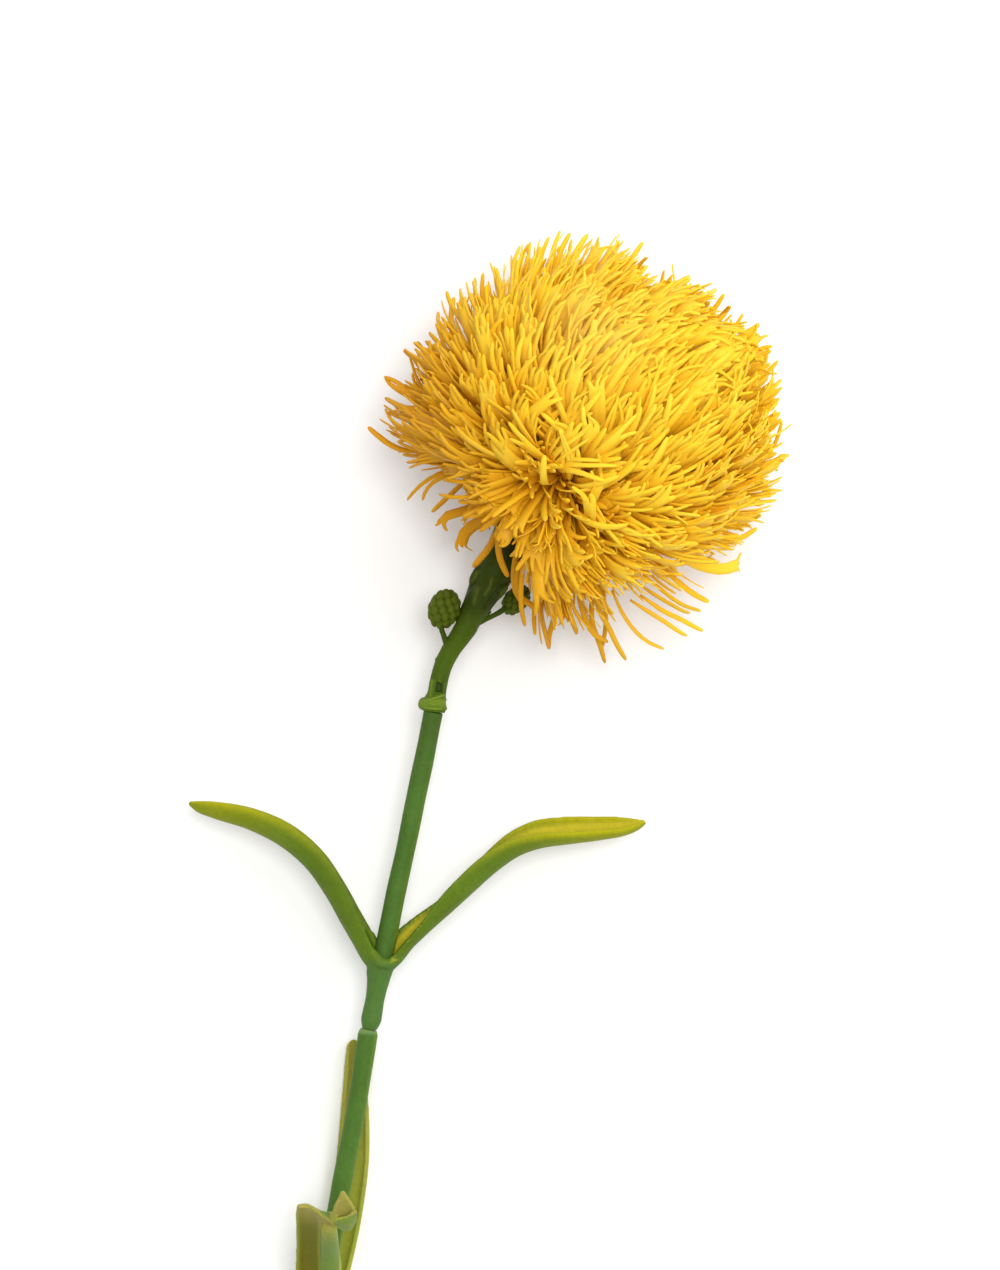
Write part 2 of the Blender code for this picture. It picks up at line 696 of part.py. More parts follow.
def build_pair(name, sleeve, leaves):
    """Sleeve and cup with two opposite leaves, bored for the rod above."""
    pts = np.array(sleeve, float)
    dirs = tangents(pts[:, :3])
    top = pts[0][:3]
    up = -dirs[0]
    rings = [circle(top + up * h, -up, r) for h, r in CUP_SHAPE]
    rings += [circle(p[:3], d, p[3]) for p, d in zip(pts[1:], dirs[1:])]
    rings += pin_rings(pts[-1][:3], dirs[-1], PIN_LENGTH)
    body = sweep(name, rings)
    blades = [leaf_object("leaf_%d" % k, *leaf) for k, leaf in enumerate(leaves)]
    combine(body, blades, "UNION", "MANIFOLD")
    hole = straight("hole", top - up * 4.0, up,
                    ((0.0, BORE_RADIUS), (4.0, BORE_RADIUS),
                     (4.0, ROD_RADIUS + 0.35), (22.0, ROD_RADIUS + 0.45)))
    combine(body, [hole], "DIFFERENCE", "MANIFOLD")
    fill_pockets(body)
    paint(body, "leaf_green", GREEN_LEAF, 0.5)
    shade(body)


def centre_all():
    """Shift everything so the origin is under the middle of the outline."""
    objects = [o for o in bpy.data.objects if o.type == "MESH"]
    spots = np.array([v.co[:] for o in objects for v in o.data.vertices])
    low = spots.min(axis=0)
    high = spots.max(axis=0)
    shift = ((low[0] + high[0]) / 2, (low[1] + high[1]) / 2, low[2])
    for obj in objects:
        for v in obj.data.vertices:
            v.co.x -= shift[0]
            v.co.y -= shift[1]
            v.co.z -= shift[2]
    print("shift mm", [round(float(c) * 1000, 3) for c in shift])


def main():
    clear_scene()
    build_bloom()
    build_calyx()
    build_neck()
    for seat, stalk, (name, centre, tip, half_long, half_wide) in zip(BUD_SEATS, BUD_STALKS, BUDS):
        foot = seat + unit(stalk[0] - seat) * GAP
        build_bud(name, [foot] + stalk, centre, tip, half_long, half_wide)
    plain = [ROD_RADIUS] * 8
    shouldered = [ROD_SHOULDER] + plain
    build_rod("stem_upper", with_radius(ROD_TOP, plain), "pin", "pin")
    build_pair("leaf_pair_upper", with_radius(SLEEVE_TOP, SLEEVE_RADII),
               [(LEAF_LEFT, UP, TOWARD_HEAD), (LEAF_RIGHT, UP, TOWARD_HEAD)])
    build_rod("stem_lower", with_radius(ROD_MIDDLE, shouldered), "bore", "pin")
    build_pair("leaf_pair_lower", with_radius(SLEEVE_LOW, SLEEVE_RADII),
               [(LEAF_BACK, CROSSWISE, np.array([0.0, 0.3, 1.0])),
                (LEAF_FRONT, CROSSWISE, np.array([0.0, 1.0, -0.6]))])
    build_rod("stem_base", with_radius(ROD_LOW, shouldered), "bore", "cut")
    centre_all()


main()
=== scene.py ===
"""Looks of a cut pincushion protea lying on a pale table, seen from above."""
import math

import bpy
import numpy as np
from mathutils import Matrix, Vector


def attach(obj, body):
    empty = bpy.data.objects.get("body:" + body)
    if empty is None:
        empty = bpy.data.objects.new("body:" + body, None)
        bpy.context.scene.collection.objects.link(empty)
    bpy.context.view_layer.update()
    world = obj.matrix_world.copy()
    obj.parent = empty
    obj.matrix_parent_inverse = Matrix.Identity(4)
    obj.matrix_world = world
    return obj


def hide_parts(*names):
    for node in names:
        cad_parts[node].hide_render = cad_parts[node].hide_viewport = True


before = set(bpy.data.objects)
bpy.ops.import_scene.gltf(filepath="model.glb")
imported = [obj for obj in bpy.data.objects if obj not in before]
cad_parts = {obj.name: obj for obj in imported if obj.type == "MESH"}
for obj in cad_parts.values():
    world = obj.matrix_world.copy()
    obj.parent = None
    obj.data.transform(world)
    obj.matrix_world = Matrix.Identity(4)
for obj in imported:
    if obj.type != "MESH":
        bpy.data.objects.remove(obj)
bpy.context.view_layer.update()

MM = 0.001
UP = np.array([0.0, 0.0, 1.0])

# The camera looks straight down; a picture point and a height give a place
VIEW_SCALE = 0.225
VIEW_HEIGHT = 1142.0
VIEW_RANGE = 1100.0
VIEW_U = 500.0
VIEW_V = 635.0
VIEW_X = 3.567
VIEW_Y = 84.416
SENSOR = 36.0

# Flower head, in millimetres and degrees
HEAD_RADIUS = 44.0
CORE_RADIUS = 25.0
CORE_SHIFT = 3.0
STRAPS = 2050
STRAP_END = 163.0
STRAP_CROWD = 0.92
FILLERS = 380
FILLER_SPREAD = 38.0
STRAP_SINK = 1.0
STRAP_MIN = 4.0
STRAP_MAX = 44.0
STEPS = 20
BODY_ROWS = 6
SEED = 23
HALVINGS = 13
# How straps differ: neighbours sway in tufts, and each one a little on its own
TUFT_WAVE = 0.14
TUFT_SWIRL = 0.10
TUFT_LEAN = 5.0
TUFT_DRIFT = 0.10
ROOT_NOISE = 0.02
SWIRL_NOISE = 0.16
LEAN_NOISE = 6.0
HOOK_NOISE = 6.0
DRIFT_NOISE = 0.10
# Angles round the source within which straps stand up and are more tangled
CALM_WIDTH = 30.0
WILD_WIDTH = 26.0
# Zones with shorter and fewer straps: soft steps off the view and in bearing,
# share of the reach lost, share of the straps left out
LOW_LEFT = ((58.0, 76.0), (192.0, 204.0), (236.0, 248.0))
BOTTOM = ((60.0, 78.0), (256.0, 266.0), (298.0, 312.0))
SHORTER = (0.13, 0.08)
LEFT_OUT = (0.55, 0.5)
# Steps of a strap at which it starts to make room and at which its width is set
ROOM_FROM = 4
MEASURED_AT = 6
# Half width kept free, largest shift allowed, least heights over the floor
ROOM_HALF = 0.8
MOVED_MAX = 2.6
FLOOR_GAPS = (0.35, 2.6)
HALF_THICK = 0.14
LOWEST_POINT = 0.12
# Where straps fork, how hollow they are, how far their prongs part, bend and rise
EARLY_FORK = (0.46, 0.66)
LATE_FORK = (0.66, 0.90)
CUPPED = (-0.05, 0.28)
SPREAD = (0.2, 1.1)
BEND = 1.1
RISE = 0.5
# For one to four prongs: width and share of all straps
PRONG_WIDTHS = (1.45, 2.55, 3.5, 4.3)
PRONG_SHARES = (0.24, 0.4, 0.28, 0.08)
# Rows of a prong from its fork to its end, and the share of its width left there
PRONG_AT = np.array([0.25, 0.5, 0.75, 0.92, 1.0])
PRONG_TAPER = np.array([1.0, 0.96, 0.88, 0.70, 0.30])
PRONG_ROWS = len(PRONG_AT)
EARLY_FORKS = 0.38
# Shares of the head's radius that straps reach, and how many straps do
REACHES = (1.0, 0.97, 0.94, 0.91, 0.86, 0.78)
REACH_SHARES = (0.07, 0.16, 0.22, 0.2, 0.18, 0.17)
# Straps stream over the head from a source to a sink; bearing and angle off the view
SOURCE = (229.0, 40.0)
SINK = (29.0, 62.0)
SINK_PULL = 1.6
SWIRL = 16.0
LEAN_KNOTS = ((0, 60), (20, 57), (40, 42), (60, 38), (75, 30), (90, 26), (180, 10))
SLIM_KNOTS = ((0, 1.0), (110, 1.0), (135, 0.75), (165, 0.65))
# Bulges and hollows of the outline: bearing, half width, change of radius
LOBES = ((178, 9, 6.0), (158, 12, 3.0), (140, 9, 2.0), (108, 11, 3.0), (84, 7, 1.5),
         (68, 9, -6.0), (43, 7, -4.0), (29, 7, 1.0), (202, 9, -5.0), (232, 13, -8.0),
         (257, 10, 6.5), (281, 8, -1.5), (299, 12, 5.0), (315, 8, 2.0), (345, 10, 1.0))
# Single straps that end outside the rest: picture point of the tip and of where
# they leave the head, width and prongs
FRINGE = (
    (782, 422, 774, 445, 0.9, 1), (780, 412, 772, 421, 1.2, 1), (780, 385, 768, 395, 1.9, 2),
    (778, 354, 767, 367, 1.9, 2), (771, 347, 759, 358, 1.7, 2), (764, 329, 750, 345, 2.4, 3),
    (739, 331, 731, 325, 0.9, 1), (730, 306, 725, 312, 1.1, 1), (724, 294, 719, 302, 1.1, 1),
    (716, 289, 710, 294, 1.1, 1), (687, 278, 676, 284, 1.7, 2), (668, 271, 665, 280, 1.8, 2),
    (649, 259, 636, 271, 1.9, 2), (643, 242, 628, 264, 1.2, 1), (628, 246, 617, 262, 1.8, 2),
    (619, 241, 613, 252, 1.2, 1), (588, 234, 577, 250, 1.3, 1), (570, 233, 563, 246, 1.2, 1),
    (560, 231, 554, 246, 0.9, 1), (549, 237, 544, 248, 1.0, 1), (528, 244, 521, 262, 0.9, 1),
    (520, 246, 514, 262, 0.9, 1), (483, 273, 482, 292, 1.0, 1), (489, 283, 488, 296, 0.9, 1),
    (475, 278, 475, 294, 1.0, 1), (460, 289, 463, 306, 1.2, 1), (454, 297, 451, 316, 1.2, 1),
    (438, 312, 439, 326, 1.0, 1), (417, 342, 425, 352, 1.1, 1), (403, 361, 414, 380, 2.0, 2),
    (384, 377, 410, 394, 2.4, 2), (385, 398, 398, 405, 1.2, 1), (385, 409, 393, 422, 0.8, 1),
    (743, 563, 724, 569, 2.6, 3), (757, 528, 745, 536, 1.2, 1), (761, 515, 752, 519, 1.0, 1),
    (786, 457, 772, 468, 0.9, 1), (709, 602, 697, 596, 1.3, 1), (701, 611, 685, 606, 0.9, 1),
    (525, 626, 522, 612, 1.1, 1), (535, 635, 534, 620, 1.0, 1), (568, 624, 561, 606, 1.9, 2))
# Longer ones: width, prongs, heights at root and tip, picture points
STRAYS = (
    (1.3, 1, 36, 38, ((420, 452), (400, 449), (388, 443), (377, 435), (368, 427))),
    (2.1, 2, 33, 27, ((470, 462), (450, 472), (432, 480), (421, 490), (414, 504))),
    (1.2, 1, 32, 28, ((478, 474), (462, 484), (448, 497), (438, 506), (432, 512))),
    (2.2, 2, 31, 27, ((492, 500), (472, 508), (455, 513), (443, 518), (441, 530))),
    (2.8, 3, 31, 27, ((508, 508), (490, 519), (474, 525), (464, 535), (460, 552))),
    (1.6, 1, 32, 28, ((512, 512), (499, 530), (490, 546), (480, 559), (473, 567))),
    (1.5, 1, 33, 30, ((507, 515), (500, 532), (498, 548), (502, 564), (508, 577))),
    (1.4, 1, 33, 30, ((528, 530), (519, 548), (514, 572), (516, 592), (524, 605))),
    (1.4, 1, 33, 29, ((519, 562), (517, 585), (521, 598), (530, 604), (538, 612))),
    (1.2, 1, 30, 22, ((545, 590), (541, 612), (544, 628), (547, 640), (549, 649))),
    (1.2, 1, 28, 20, ((558, 588), (557, 606), (553, 622), (549, 636), (549, 649))),
    (1.2, 1, 30, 24, ((560, 585), (566, 604), (571, 618), (575, 628), (577, 634))),
    (1.3, 1, 30, 24, ((577, 575), (580, 600), (585, 618), (595, 635), (608, 642))),
    (1.2, 1, 28, 20, ((590, 575), (592, 600), (592, 622), (600, 645), (605, 663))),
    (1.1, 1, 26, 20, ((604, 575), (604, 600), (606, 620), (604, 638), (601, 650))),
    (1.2, 1, 31, 24, ((592, 585), (600, 612), (609, 628), (617, 645), (626, 660))),
    (0.9, 1, 31, 28, ((612, 590), (624, 616), (636, 632), (648, 642), (664, 649))),
    (1.0, 1, 30, 28, ((630, 600), (652, 614), (668, 624), (678, 631), (687, 636))),
    (1.1, 1, 31, 29, ((640, 595), (665, 612), (682, 620), (693, 626), (703, 631))),
    (1.0, 1, 30, 29, ((640, 585), (660, 598), (674, 606), (683, 611), (690, 613))))
VIEW_CLEAR = 3.6
CALYX_CLEAR = 1.2
BUD_CLEAR = 3.2
ROOT_CLEAR = 5.0
CORE_ROWS = 33
CORE_SIDES = 64
PALE_SIZE = 12.0
# Way across the head toward which the straps' painted shade deepens, away from the key lamp
SHADE_WAY = (-0.9, -0.45, -0.3)


def place(u, v, z):
    """Picture point and height to millimetres in the part's frame."""
    k = VIEW_SCALE * (VIEW_HEIGHT - z) / VIEW_RANGE
    return np.array([(u - VIEW_U) * k + VIEW_X, (VIEW_V - v) * k + VIEW_Y, float(z)])


def places(*spots):
    return [place(*spot) for spot in spots]


def unit(v):
    """Unit vector, or rows of them."""
    v = np.asarray(v, float)
    return v / np.maximum(np.linalg.norm(v, axis=-1, keepdims=True), 1e-9)


def table(knots, x):
    return np.interp(x, [k[0] for k in knots], [k[1] for k in knots])


def smooth(x, low, high):
    """Soft step from 0 at low to 1 at high."""
    t = np.clip((np.asarray(x, float) - low) / (high - low), 0.0, 1.0)
    return t * t * (3 - 2 * t)


def bell(x, centre, width):
    """Soft bump, 1 at the centre."""
    return np.exp(-((x - centre) / width) ** 2)


def angle(cosine):
    return np.degrees(np.arccos(np.clip(cosine, -1.0, 1.0)))


def curve(stations, count):
    """Smooth resampling of a short list of stations of any width."""
    pts = np.array(stations, float)
    span = np.linalg.norm(np.diff(pts[:, :3], axis=0), axis=1)
    at = np.concatenate([[0.0], np.cumsum(span)])
    slope = np.gradient(pts, at, axis=0)
    out = []
    for s in np.linspace(0.0, at[-1], count):
        i = min(int(np.searchsorted(at, s, side="right")) - 1, len(pts) - 2)
        h = at[i + 1] - at[i]
        t = (s - at[i]) / h
        a = (1 + 2 * t) * (1 - t) ** 2 * pts[i]
        b = t * (1 - t) ** 2 * h * slope[i]
        c = t * t * (3 - 2 * t) * pts[i + 1]
        d = t * t * (t - 1) * h * slope[i + 1]
        out.append(a + b + c + d)
    return np.array(out)


HEAD = place(594, 433, 37.5)
AXIS = unit(np.array([0.67, 0.44, 0.60]))
CORE = HEAD + AXIS * CORE_SHIFT
SIDE_A = unit(np.cross(AXIS, UP))
SIDE_B = np.cross(AXIS, SIDE_A)

CALYX_LINE = np.array(places(
    (466.4, 625.4, 21.8), (470.6, 616.8, 22.0), (479, 602, 22.4), (488, 585, 22.7), (498, 566, 23.0),
    (507, 545, 23.2), (515, 520, 23.3), (522, 500, 23.4), (530, 484, 23.7)))
CALYX_RADII = np.array([2.95, 3.0, 3.4, 4.0, 4.3, 4.1, 3.5, 3.0, 2.6])
BUD_LINE = np.array(places((506, 612, 18.6), (517, 600, 18.6), (528, 587, 18.8)))


def add_object(name, data):
    obj = bpy.data.objects.new(name, data)
    bpy.context.scene.collection.objects.link(obj)
    return obj


def to_object(name, verts, faces):
    """Smooth mesh object from millimetre points and a quad or triangle array."""
    verts = np.asarray(verts, np.float32) * MM
    faces = np.asarray(faces, np.int32)
    mesh = bpy.data.meshes.new(name)
    mesh.vertices.add(len(verts))
    mesh.vertices.foreach_set("co", verts.ravel())
    mesh.loops.add(faces.size)
    mesh.loops.foreach_set("vertex_index", faces.ravel())
    mesh.polygons.add(len(faces))
    mesh.polygons.foreach_set("loop_start", np.arange(len(faces)) * faces.shape[1])
    mesh.update(calc_edges=True)
    mesh.validate()
    mesh.shade_smooth()
    return add_object(name, mesh)


def give(obj, name, values):
    """Store one number for every point of a mesh."""
    mesh = obj.data
    data = mesh.attributes.get(name) or mesh.attributes.new(name, "FLOAT", "POINT")
    data.data.foreach_set("value", np.asarray(values, np.float32))


def near_line(points, line):
    """Closest places on a polyline for rows of points, gaps and how far along."""
    best = np.zeros_like(points)
    gaps = np.full(len(points), 1e9)
    along = np.zeros(len(points))
    for k in range(len(line) - 1):
        a = line[k]
        ab = line[k + 1] - a
        t = np.clip((points - a) @ ab / (ab @ ab), 0.0, 1.0)
        q = a + t[:, None] * ab
        d = np.linalg.norm(points - q, axis=1)
        closer = d < gaps
        best[closer] = q[closer]
        gaps[closer] = d[closer]
        along[closer] = k + t[closer]
    return best, gaps, along


def pushed(points, near, gaps, room):
    """Points moved straight away from near until they have the room."""
    move = np.maximum(room - gaps, 0.0)
    away = unit(points - near)
    return points + away * move[:, None]


def parted(points, half_width):
    """Keep straps off the calyx, off the view onto it and off the right bud."""
    shape = points.shape
    points = points.reshape(-1, 3).copy()
    flat = CALYX_LINE[:5].copy()
    flat[:, 2] = 0.0
    here = points.copy()
    here[:, 2] = 0.0
    near, gaps, _ = near_line(here, flat)
    here = pushed(here, near, gaps, VIEW_CLEAR + half_width)
    points[:, :2] = here[:, :2]
    near, gaps, along = near_line(points, CALYX_LINE)
    room = np.interp(along, np.arange(len(CALYX_RADII)), CALYX_RADII)
    points = pushed(points, near, gaps, room + CALYX_CLEAR + half_width)
    near, gaps, _ = near_line(points, BUD_LINE)
    points = pushed(points, near, gaps, BUD_CLEAR + half_width)
    return points.reshape(shape)


def bearings(directions):
    return np.degrees(np.arctan2(directions[:, 1], directions[:, 0])) % 360.0


def zone(off, bearing, edge, start, end):
    """Share of each direction in a zone near the outline, between two bearings."""
    return smooth(off, *edge) * smooth(bearing, *start) * (1.0 - smooth(bearing, *end))


def envelope(directions):
    """Outer radius of the head toward each direction."""
    bearing = bearings(directions)
    edge = np.hypot(directions[:, 0], directions[:, 1])
    change = np.zeros(len(directions))
    for centre, width, gain in LOBES:
        off = (bearing - centre + 180.0) % 360.0 - 180.0
        change += gain * bell(off, 0.0, width)
    return HEAD_RADIUS + change * edge ** 4


def aimed(bearing, off):
    """Direction at an angle off the view and a bearing across it."""
    b = math.radians(bearing)
    c = math.radians(off)
    return np.array([math.sin(c) * math.cos(b), math.sin(c) * math.sin(b), math.cos(c)])


def heading(points, s, swirl, more, drift):
    """Growing direction of straps at a share s of their length."""
    n = unit(points - HEAD)
    flow = np.zeros_like(n)
    for spot, sign, pull in ((aimed(*SOURCE), -1.0, 1.0), (aimed(*SINK), 1.0, SINK_PULL)):
        c = n @ spot
        gap = angle(c)
        flow += (sign * pull / np.maximum(gap, 3.0))[:, None] * unit(spot - c[:, None] * n)
        if sign < 0:
            still = smooth(gap, 0.0, CALM_WIDTH)
    flow = unit(flow)
    side = np.cross(n, flow)
    off = angle(n[:, 2])
    lean = table(LEAN_KNOTS, off) * (0.3 + 0.6 * s + 0.45 * s ** 3) * (0.5 + 0.5 * still) + more
    a = np.radians(lean)[:, None]
    w = swirl[:, None]
    flow = np.cos(w) * flow + np.sin(w) * side
    d = np.cos(a) * n + np.sin(a) * flow
    return unit(d + np.cross(n, flow) * drift[:, None])


def spiral(count, axis, end, crowd):
    """Even directions about an axis, out to an angle."""
    side = unit(np.cross(axis, UP))
    other = np.cross(axis, side)
    index = np.arange(count)
    share = ((index + 0.5) / count) ** crowd
    theta = np.arccos(1 - share * (1 - math.cos(math.radians(end))))[:, None]
    phi = (index * math.pi * (3 - math.sqrt(5)))[:, None]
    return np.cos(theta) * axis + np.sin(theta) * (np.cos(phi) * side + np.sin(phi) * other)


def strap_lines(rng):
    """Centre lines of all straps, their width directions and angles off the axis."""
    source = aimed(*SOURCE)
    normal = np.concatenate([spiral(STRAPS, AXIS, STRAP_END, STRAP_CROWD),
                             spiral(FILLERS, source, FILLER_SPREAD, 1.0)])
    normal = unit(normal + rng.normal(0.0, ROOT_NOISE, normal.shape))
    filler = np.arange(len(normal)) >= STRAPS
    root = CORE + normal * (CORE_RADIUS - STRAP_SINK)
    keep = near_line(root, CALYX_LINE)[1] > ROOT_CLEAR
    root, normal, filler = (rows[keep] for rows in (root, normal, filler))
    degrees = angle(normal @ AXIS)
    count = len(root)
    wild = bell(angle(normal @ source), 0.0, WILD_WIDTH)

    waves = rng.normal(0.0, TUFT_WAVE, (4, 3))
    tuft = np.array([np.sin((root - HEAD) @ k + j) for j, k in enumerate(waves)])
    swirl = math.radians(SWIRL) + TUFT_SWIRL * (tuft[0] + tuft[1]) + rng.normal(0.0, SWIRL_NOISE, count)
    swirl += wild * rng.uniform(-1.0, 1.0, count)
    more = TUFT_LEAN * tuft[2] + rng.uniform(-LEAN_NOISE, LEAN_NOISE, count)
    hook = rng.normal(0.0, HOOK_NOISE, count) * (1.0 + 2.0 * wild)
    drift = TUFT_DRIFT * tuft[3] + rng.normal(0.0, DRIFT_NOISE, count) * (1.0 + 1.5 * wild)
    reach = rng.choice(REACHES, count, p=REACH_SHARES)
    off = angle(normal[:, 2])
    bearing = bearings(normal)
    reach = 1.0 - (1.0 - reach) * (0.55 + 0.45 * smooth(off, 50.0, 80.0))
    reach[filler] = rng.uniform(0.7, 0.97, filler.sum())
    low_left = zone(off, bearing, *LOW_LEFT)
    bottom = zone(off, bearing, *BOTTOM)
    reach -= SHORTER[0] * low_left + SHORTER[1] * bottom
    stay = rng.uniform(0.0, 1.0, count) > LEFT_OUT[0] * low_left + LEFT_OUT[1] * bottom
    low = np.full(count, STRAP_MIN)
    high = np.full(count, STRAP_MAX)
    lines = np.zeros((count, STEPS + 1, 3))
    for _ in range(HALVINGS):
        length = 0.5 * (low + high)
        lines[:, 0] = root
        for k in range(STEPS):
            s = (k + 0.5) / STEPS
            way = heading(lines[:, k], s, swirl, more + hook * s ** 3, drift * (2 * s - 0.3))
            lines[:, k + 1] = lines[:, k] + way * (length / STEPS)[:, None]
        out = lines[:, -1] - HEAD
        short = np.linalg.norm(out, axis=1) < reach * envelope(unit(out))
        low = np.where(short, length, low)
        high = np.where(short, high, length)
    spot = lines[:, MEASURED_AT]
    across = unit(np.cross(unit(spot - HEAD), unit(spot - lines[:, 0]) + 0.02 * SIDE_A))
    return lines[stay], across[stay], degrees[stay]


def turned(wide, deep, turn):
    """Two square directions turned about the third one."""
    c = np.cos(turn)
    s = np.sin(turn)
    return c * wide + s * deep, c * deep - s * wide


def strap_groups():
    """All straps as point grids, grouped by their number of prongs."""
    rng = np.random.default_rng(SEED)
    lines, across, degrees = strap_lines(rng)
    count = len(lines)
    floor = rng.uniform(*FLOOR_GAPS, count)
    prongs = rng.choice((1, 2, 3, 4), count, p=PRONG_SHARES)
    width = np.array(PRONG_WIDTHS)[prongs - 1]
    width = width * rng.uniform(0.85, 1.15, count) * table(SLIM_KNOTS, degrees)
    clear = parted(lines[:, ROOM_FROM:], ROOM_HALF)
    moved = np.linalg.norm(clear - lines[:, ROOM_FROM:], axis=2).max(axis=1)
    lines[:, ROOM_FROM:] = clear
    lines[:, :, 2] = np.maximum(lines[:, :, 2], floor[:, None])
    tangent = unit(np.gradient(lines, axis=1))
    wide = unit(across[:, None] - np.sum(across[:, None] * tangent, axis=2, keepdims=True) * tangent)
    deep = np.cross(tangent, wide)
    at = np.linspace(0.0, 1.0, STEPS + 1)
    turn = np.radians(rng.normal(0, 10, count)[:, None] + rng.normal(0, 12, count)[:, None] * at)
    wide, deep = turned(wide, deep, turn[:, :, None])
    keep = moved < MOVED_MAX
    sets = [(lines[keep], wide[keep], deep[keep], width[keep], prongs[keep]), loose_straps(rng)]
    lines, wide, deep, width, prongs = (np.concatenate(pair) for pair in zip(*sets))
    groups = {}
    for number in (1, 2, 3, 4):
        pick = np.where(prongs == number)[0]
        for half in (0, 1):
            some = pick[half::2]
            picked = (rows[some] for rows in (lines, wide, deep, width))
            groups["straps_%d_%d" % (number, half)] = strap_grid(number, *picked, rng)
    return groups


def loose_straps(rng):
    """The fringe and the stray straps, in the same form as all the others."""
    straps = []
    for tip_u, tip_v, base_u, base_v, size, number in FRINGE:
        tip = place(tip_u, tip_v, HEAD[2] + rng.uniform(-5, 5))
        base = place(base_u, base_v, HEAD[2] + rng.uniform(-3, 4))
        inward = unit(HEAD - base)
        root = base + 13.0 * unit(0.6 * inward + unit(base - tip)) + np.array([0.0, 0.0, 2.0])
        straps.append((curve([root, base, tip], STEPS + 1), size, number))
    for size, number, low, high, spots in STRAYS:
        heights = np.linspace(low, high, len(spots))
        stations = [place(u, v, z) for (u, v), z in zip(spots, heights)]
        straps.append((curve(stations, STEPS + 1), size, number))
    lines, width, prongs = (np.array(column) for column in zip(*straps))
    tangent = unit(np.gradient(lines, axis=1))
    wide = unit(np.cross(tangent, UP))
    turn = np.radians(rng.normal(0, 22, len(lines)))[:, None, None]
    wide, deep = turned(wide, np.cross(tangent, wide), turn)
    return lines, wide, deep, width, prongs


def sample(grid, at):
    """Rows of grid (n, steps, 3) read at places at (n, m) between 0 and 1."""
    steps = grid.shape[1] - 1
    x = np.clip(at, 0.0, 1.0) * steps
    i = np.minimum(x.astype(int), steps - 1)
    f = (x - i)[..., None]
    rows = np.arange(len(grid))[:, None]
    return grid[rows, i] * (1 - f) + grid[rows, i + 1] * f


def strap_grid(number, lines, wides, deeps, width, rng):
    """Points, faces and surface numbers of every strap with this many prongs."""
    n = len(lines)
    half = width[:, None] / 2
    fork = np.full(n, 0.6)
    if number > 1:
        early = rng.uniform(0, 1, n) < EARLY_FORKS
        fork = np.where(early, rng.uniform(*EARLY_FORK, n), rng.uniform(*LATE_FORK, n))
    body_at = fork[:, None] * np.linspace(0.0, 1.0, BODY_ROWS + 1)
    cuts = np.linspace(-1.0, 1.0, number + 1)
    edge = np.tile(cuts, (n, 1))
    if number > 2:
        edge[:, 1:-1] += rng.uniform(-0.12, 0.12, (n, number - 1))
    swell = 0.55 + 0.45 * smooth(body_at, 0.0, 0.35)
    cup = rng.uniform(*CUPPED, n)[:, None, None]

    centre, wide, deep = (sample(grid, body_at)[:, :, None] for grid in (lines, wides, deeps))
    x = (half * swell)[:, :, None] * edge[:, None, :]
    lift = cup * (x ** 2) / np.maximum(half[:, :, None], 0.1)
    spine = centre + wide * x[..., None] + deep * lift[..., None]
    body = np.stack([spine + deep * HALF_THICK, spine - deep * HALF_THICK], axis=3)
    pieces = [(body, body_at)]

    longest = rng.integers(0, number, n)
    for k in range(number):
        end = fork + (1 - fork) * np.where(longest == k, 1.0, rng.uniform(0.4, 1.0, n))
        split = rng.uniform(0.0, 0.3, n)[:, None]
        at = fork[:, None] + (end - fork)[:, None] * PRONG_AT
        centre, wide, deep = (sample(grid, at) for grid in (lines, wides, deeps))
        middle = 0.5 * (edge[:, k] + edge[:, k + 1])[:, None]
        own = 0.5 * (edge[:, k + 1] - edge[:, k])[:, None]
        free = smooth(PRONG_AT, split - 0.2, 1.0 + split) * (number > 1)
        gap = 1.0 - 0.16 * smooth(PRONG_AT, 0.0, 0.4) * (number > 1)
        spread = 1.0 + rng.uniform(*SPREAD, n)[:, None] * free
        bend = rng.normal(0.0, BEND, n)[:, None] * free ** 2
        rise = rng.normal(0.0, RISE, n)[:, None] * free ** 2
        mid = centre + wide * (half * middle * spread + bend)[..., None] + deep * rise[..., None]
        reach = (half * own * PRONG_TAPER * gap)[..., None]
        thick = deep * (HALF_THICK - 0.04 * PRONG_AT)[None, :, None]
        rims = [np.stack([rim + thick, rim - thick], axis=2)
                for rim in (mid - wide * reach, mid + wide * reach)]
        pieces.append((np.stack(rims, axis=2), at))
    verts = np.concatenate([grid.reshape(n, -1, 3) for grid, _ in pieces], axis=1)
    along = np.concatenate([np.broadcast_to(at[:, :, None, None], grid.shape[:4]).reshape(n, -1)
                            for grid, at in pieces], axis=1)
    verts[:, :, 2] = np.maximum(verts[:, :, 2], LOWEST_POINT)
    tone = np.broadcast_to(rng.uniform(0.0, 1.0, n)[:, None], along.shape)
    return verts, strap_faces(number), along, tone


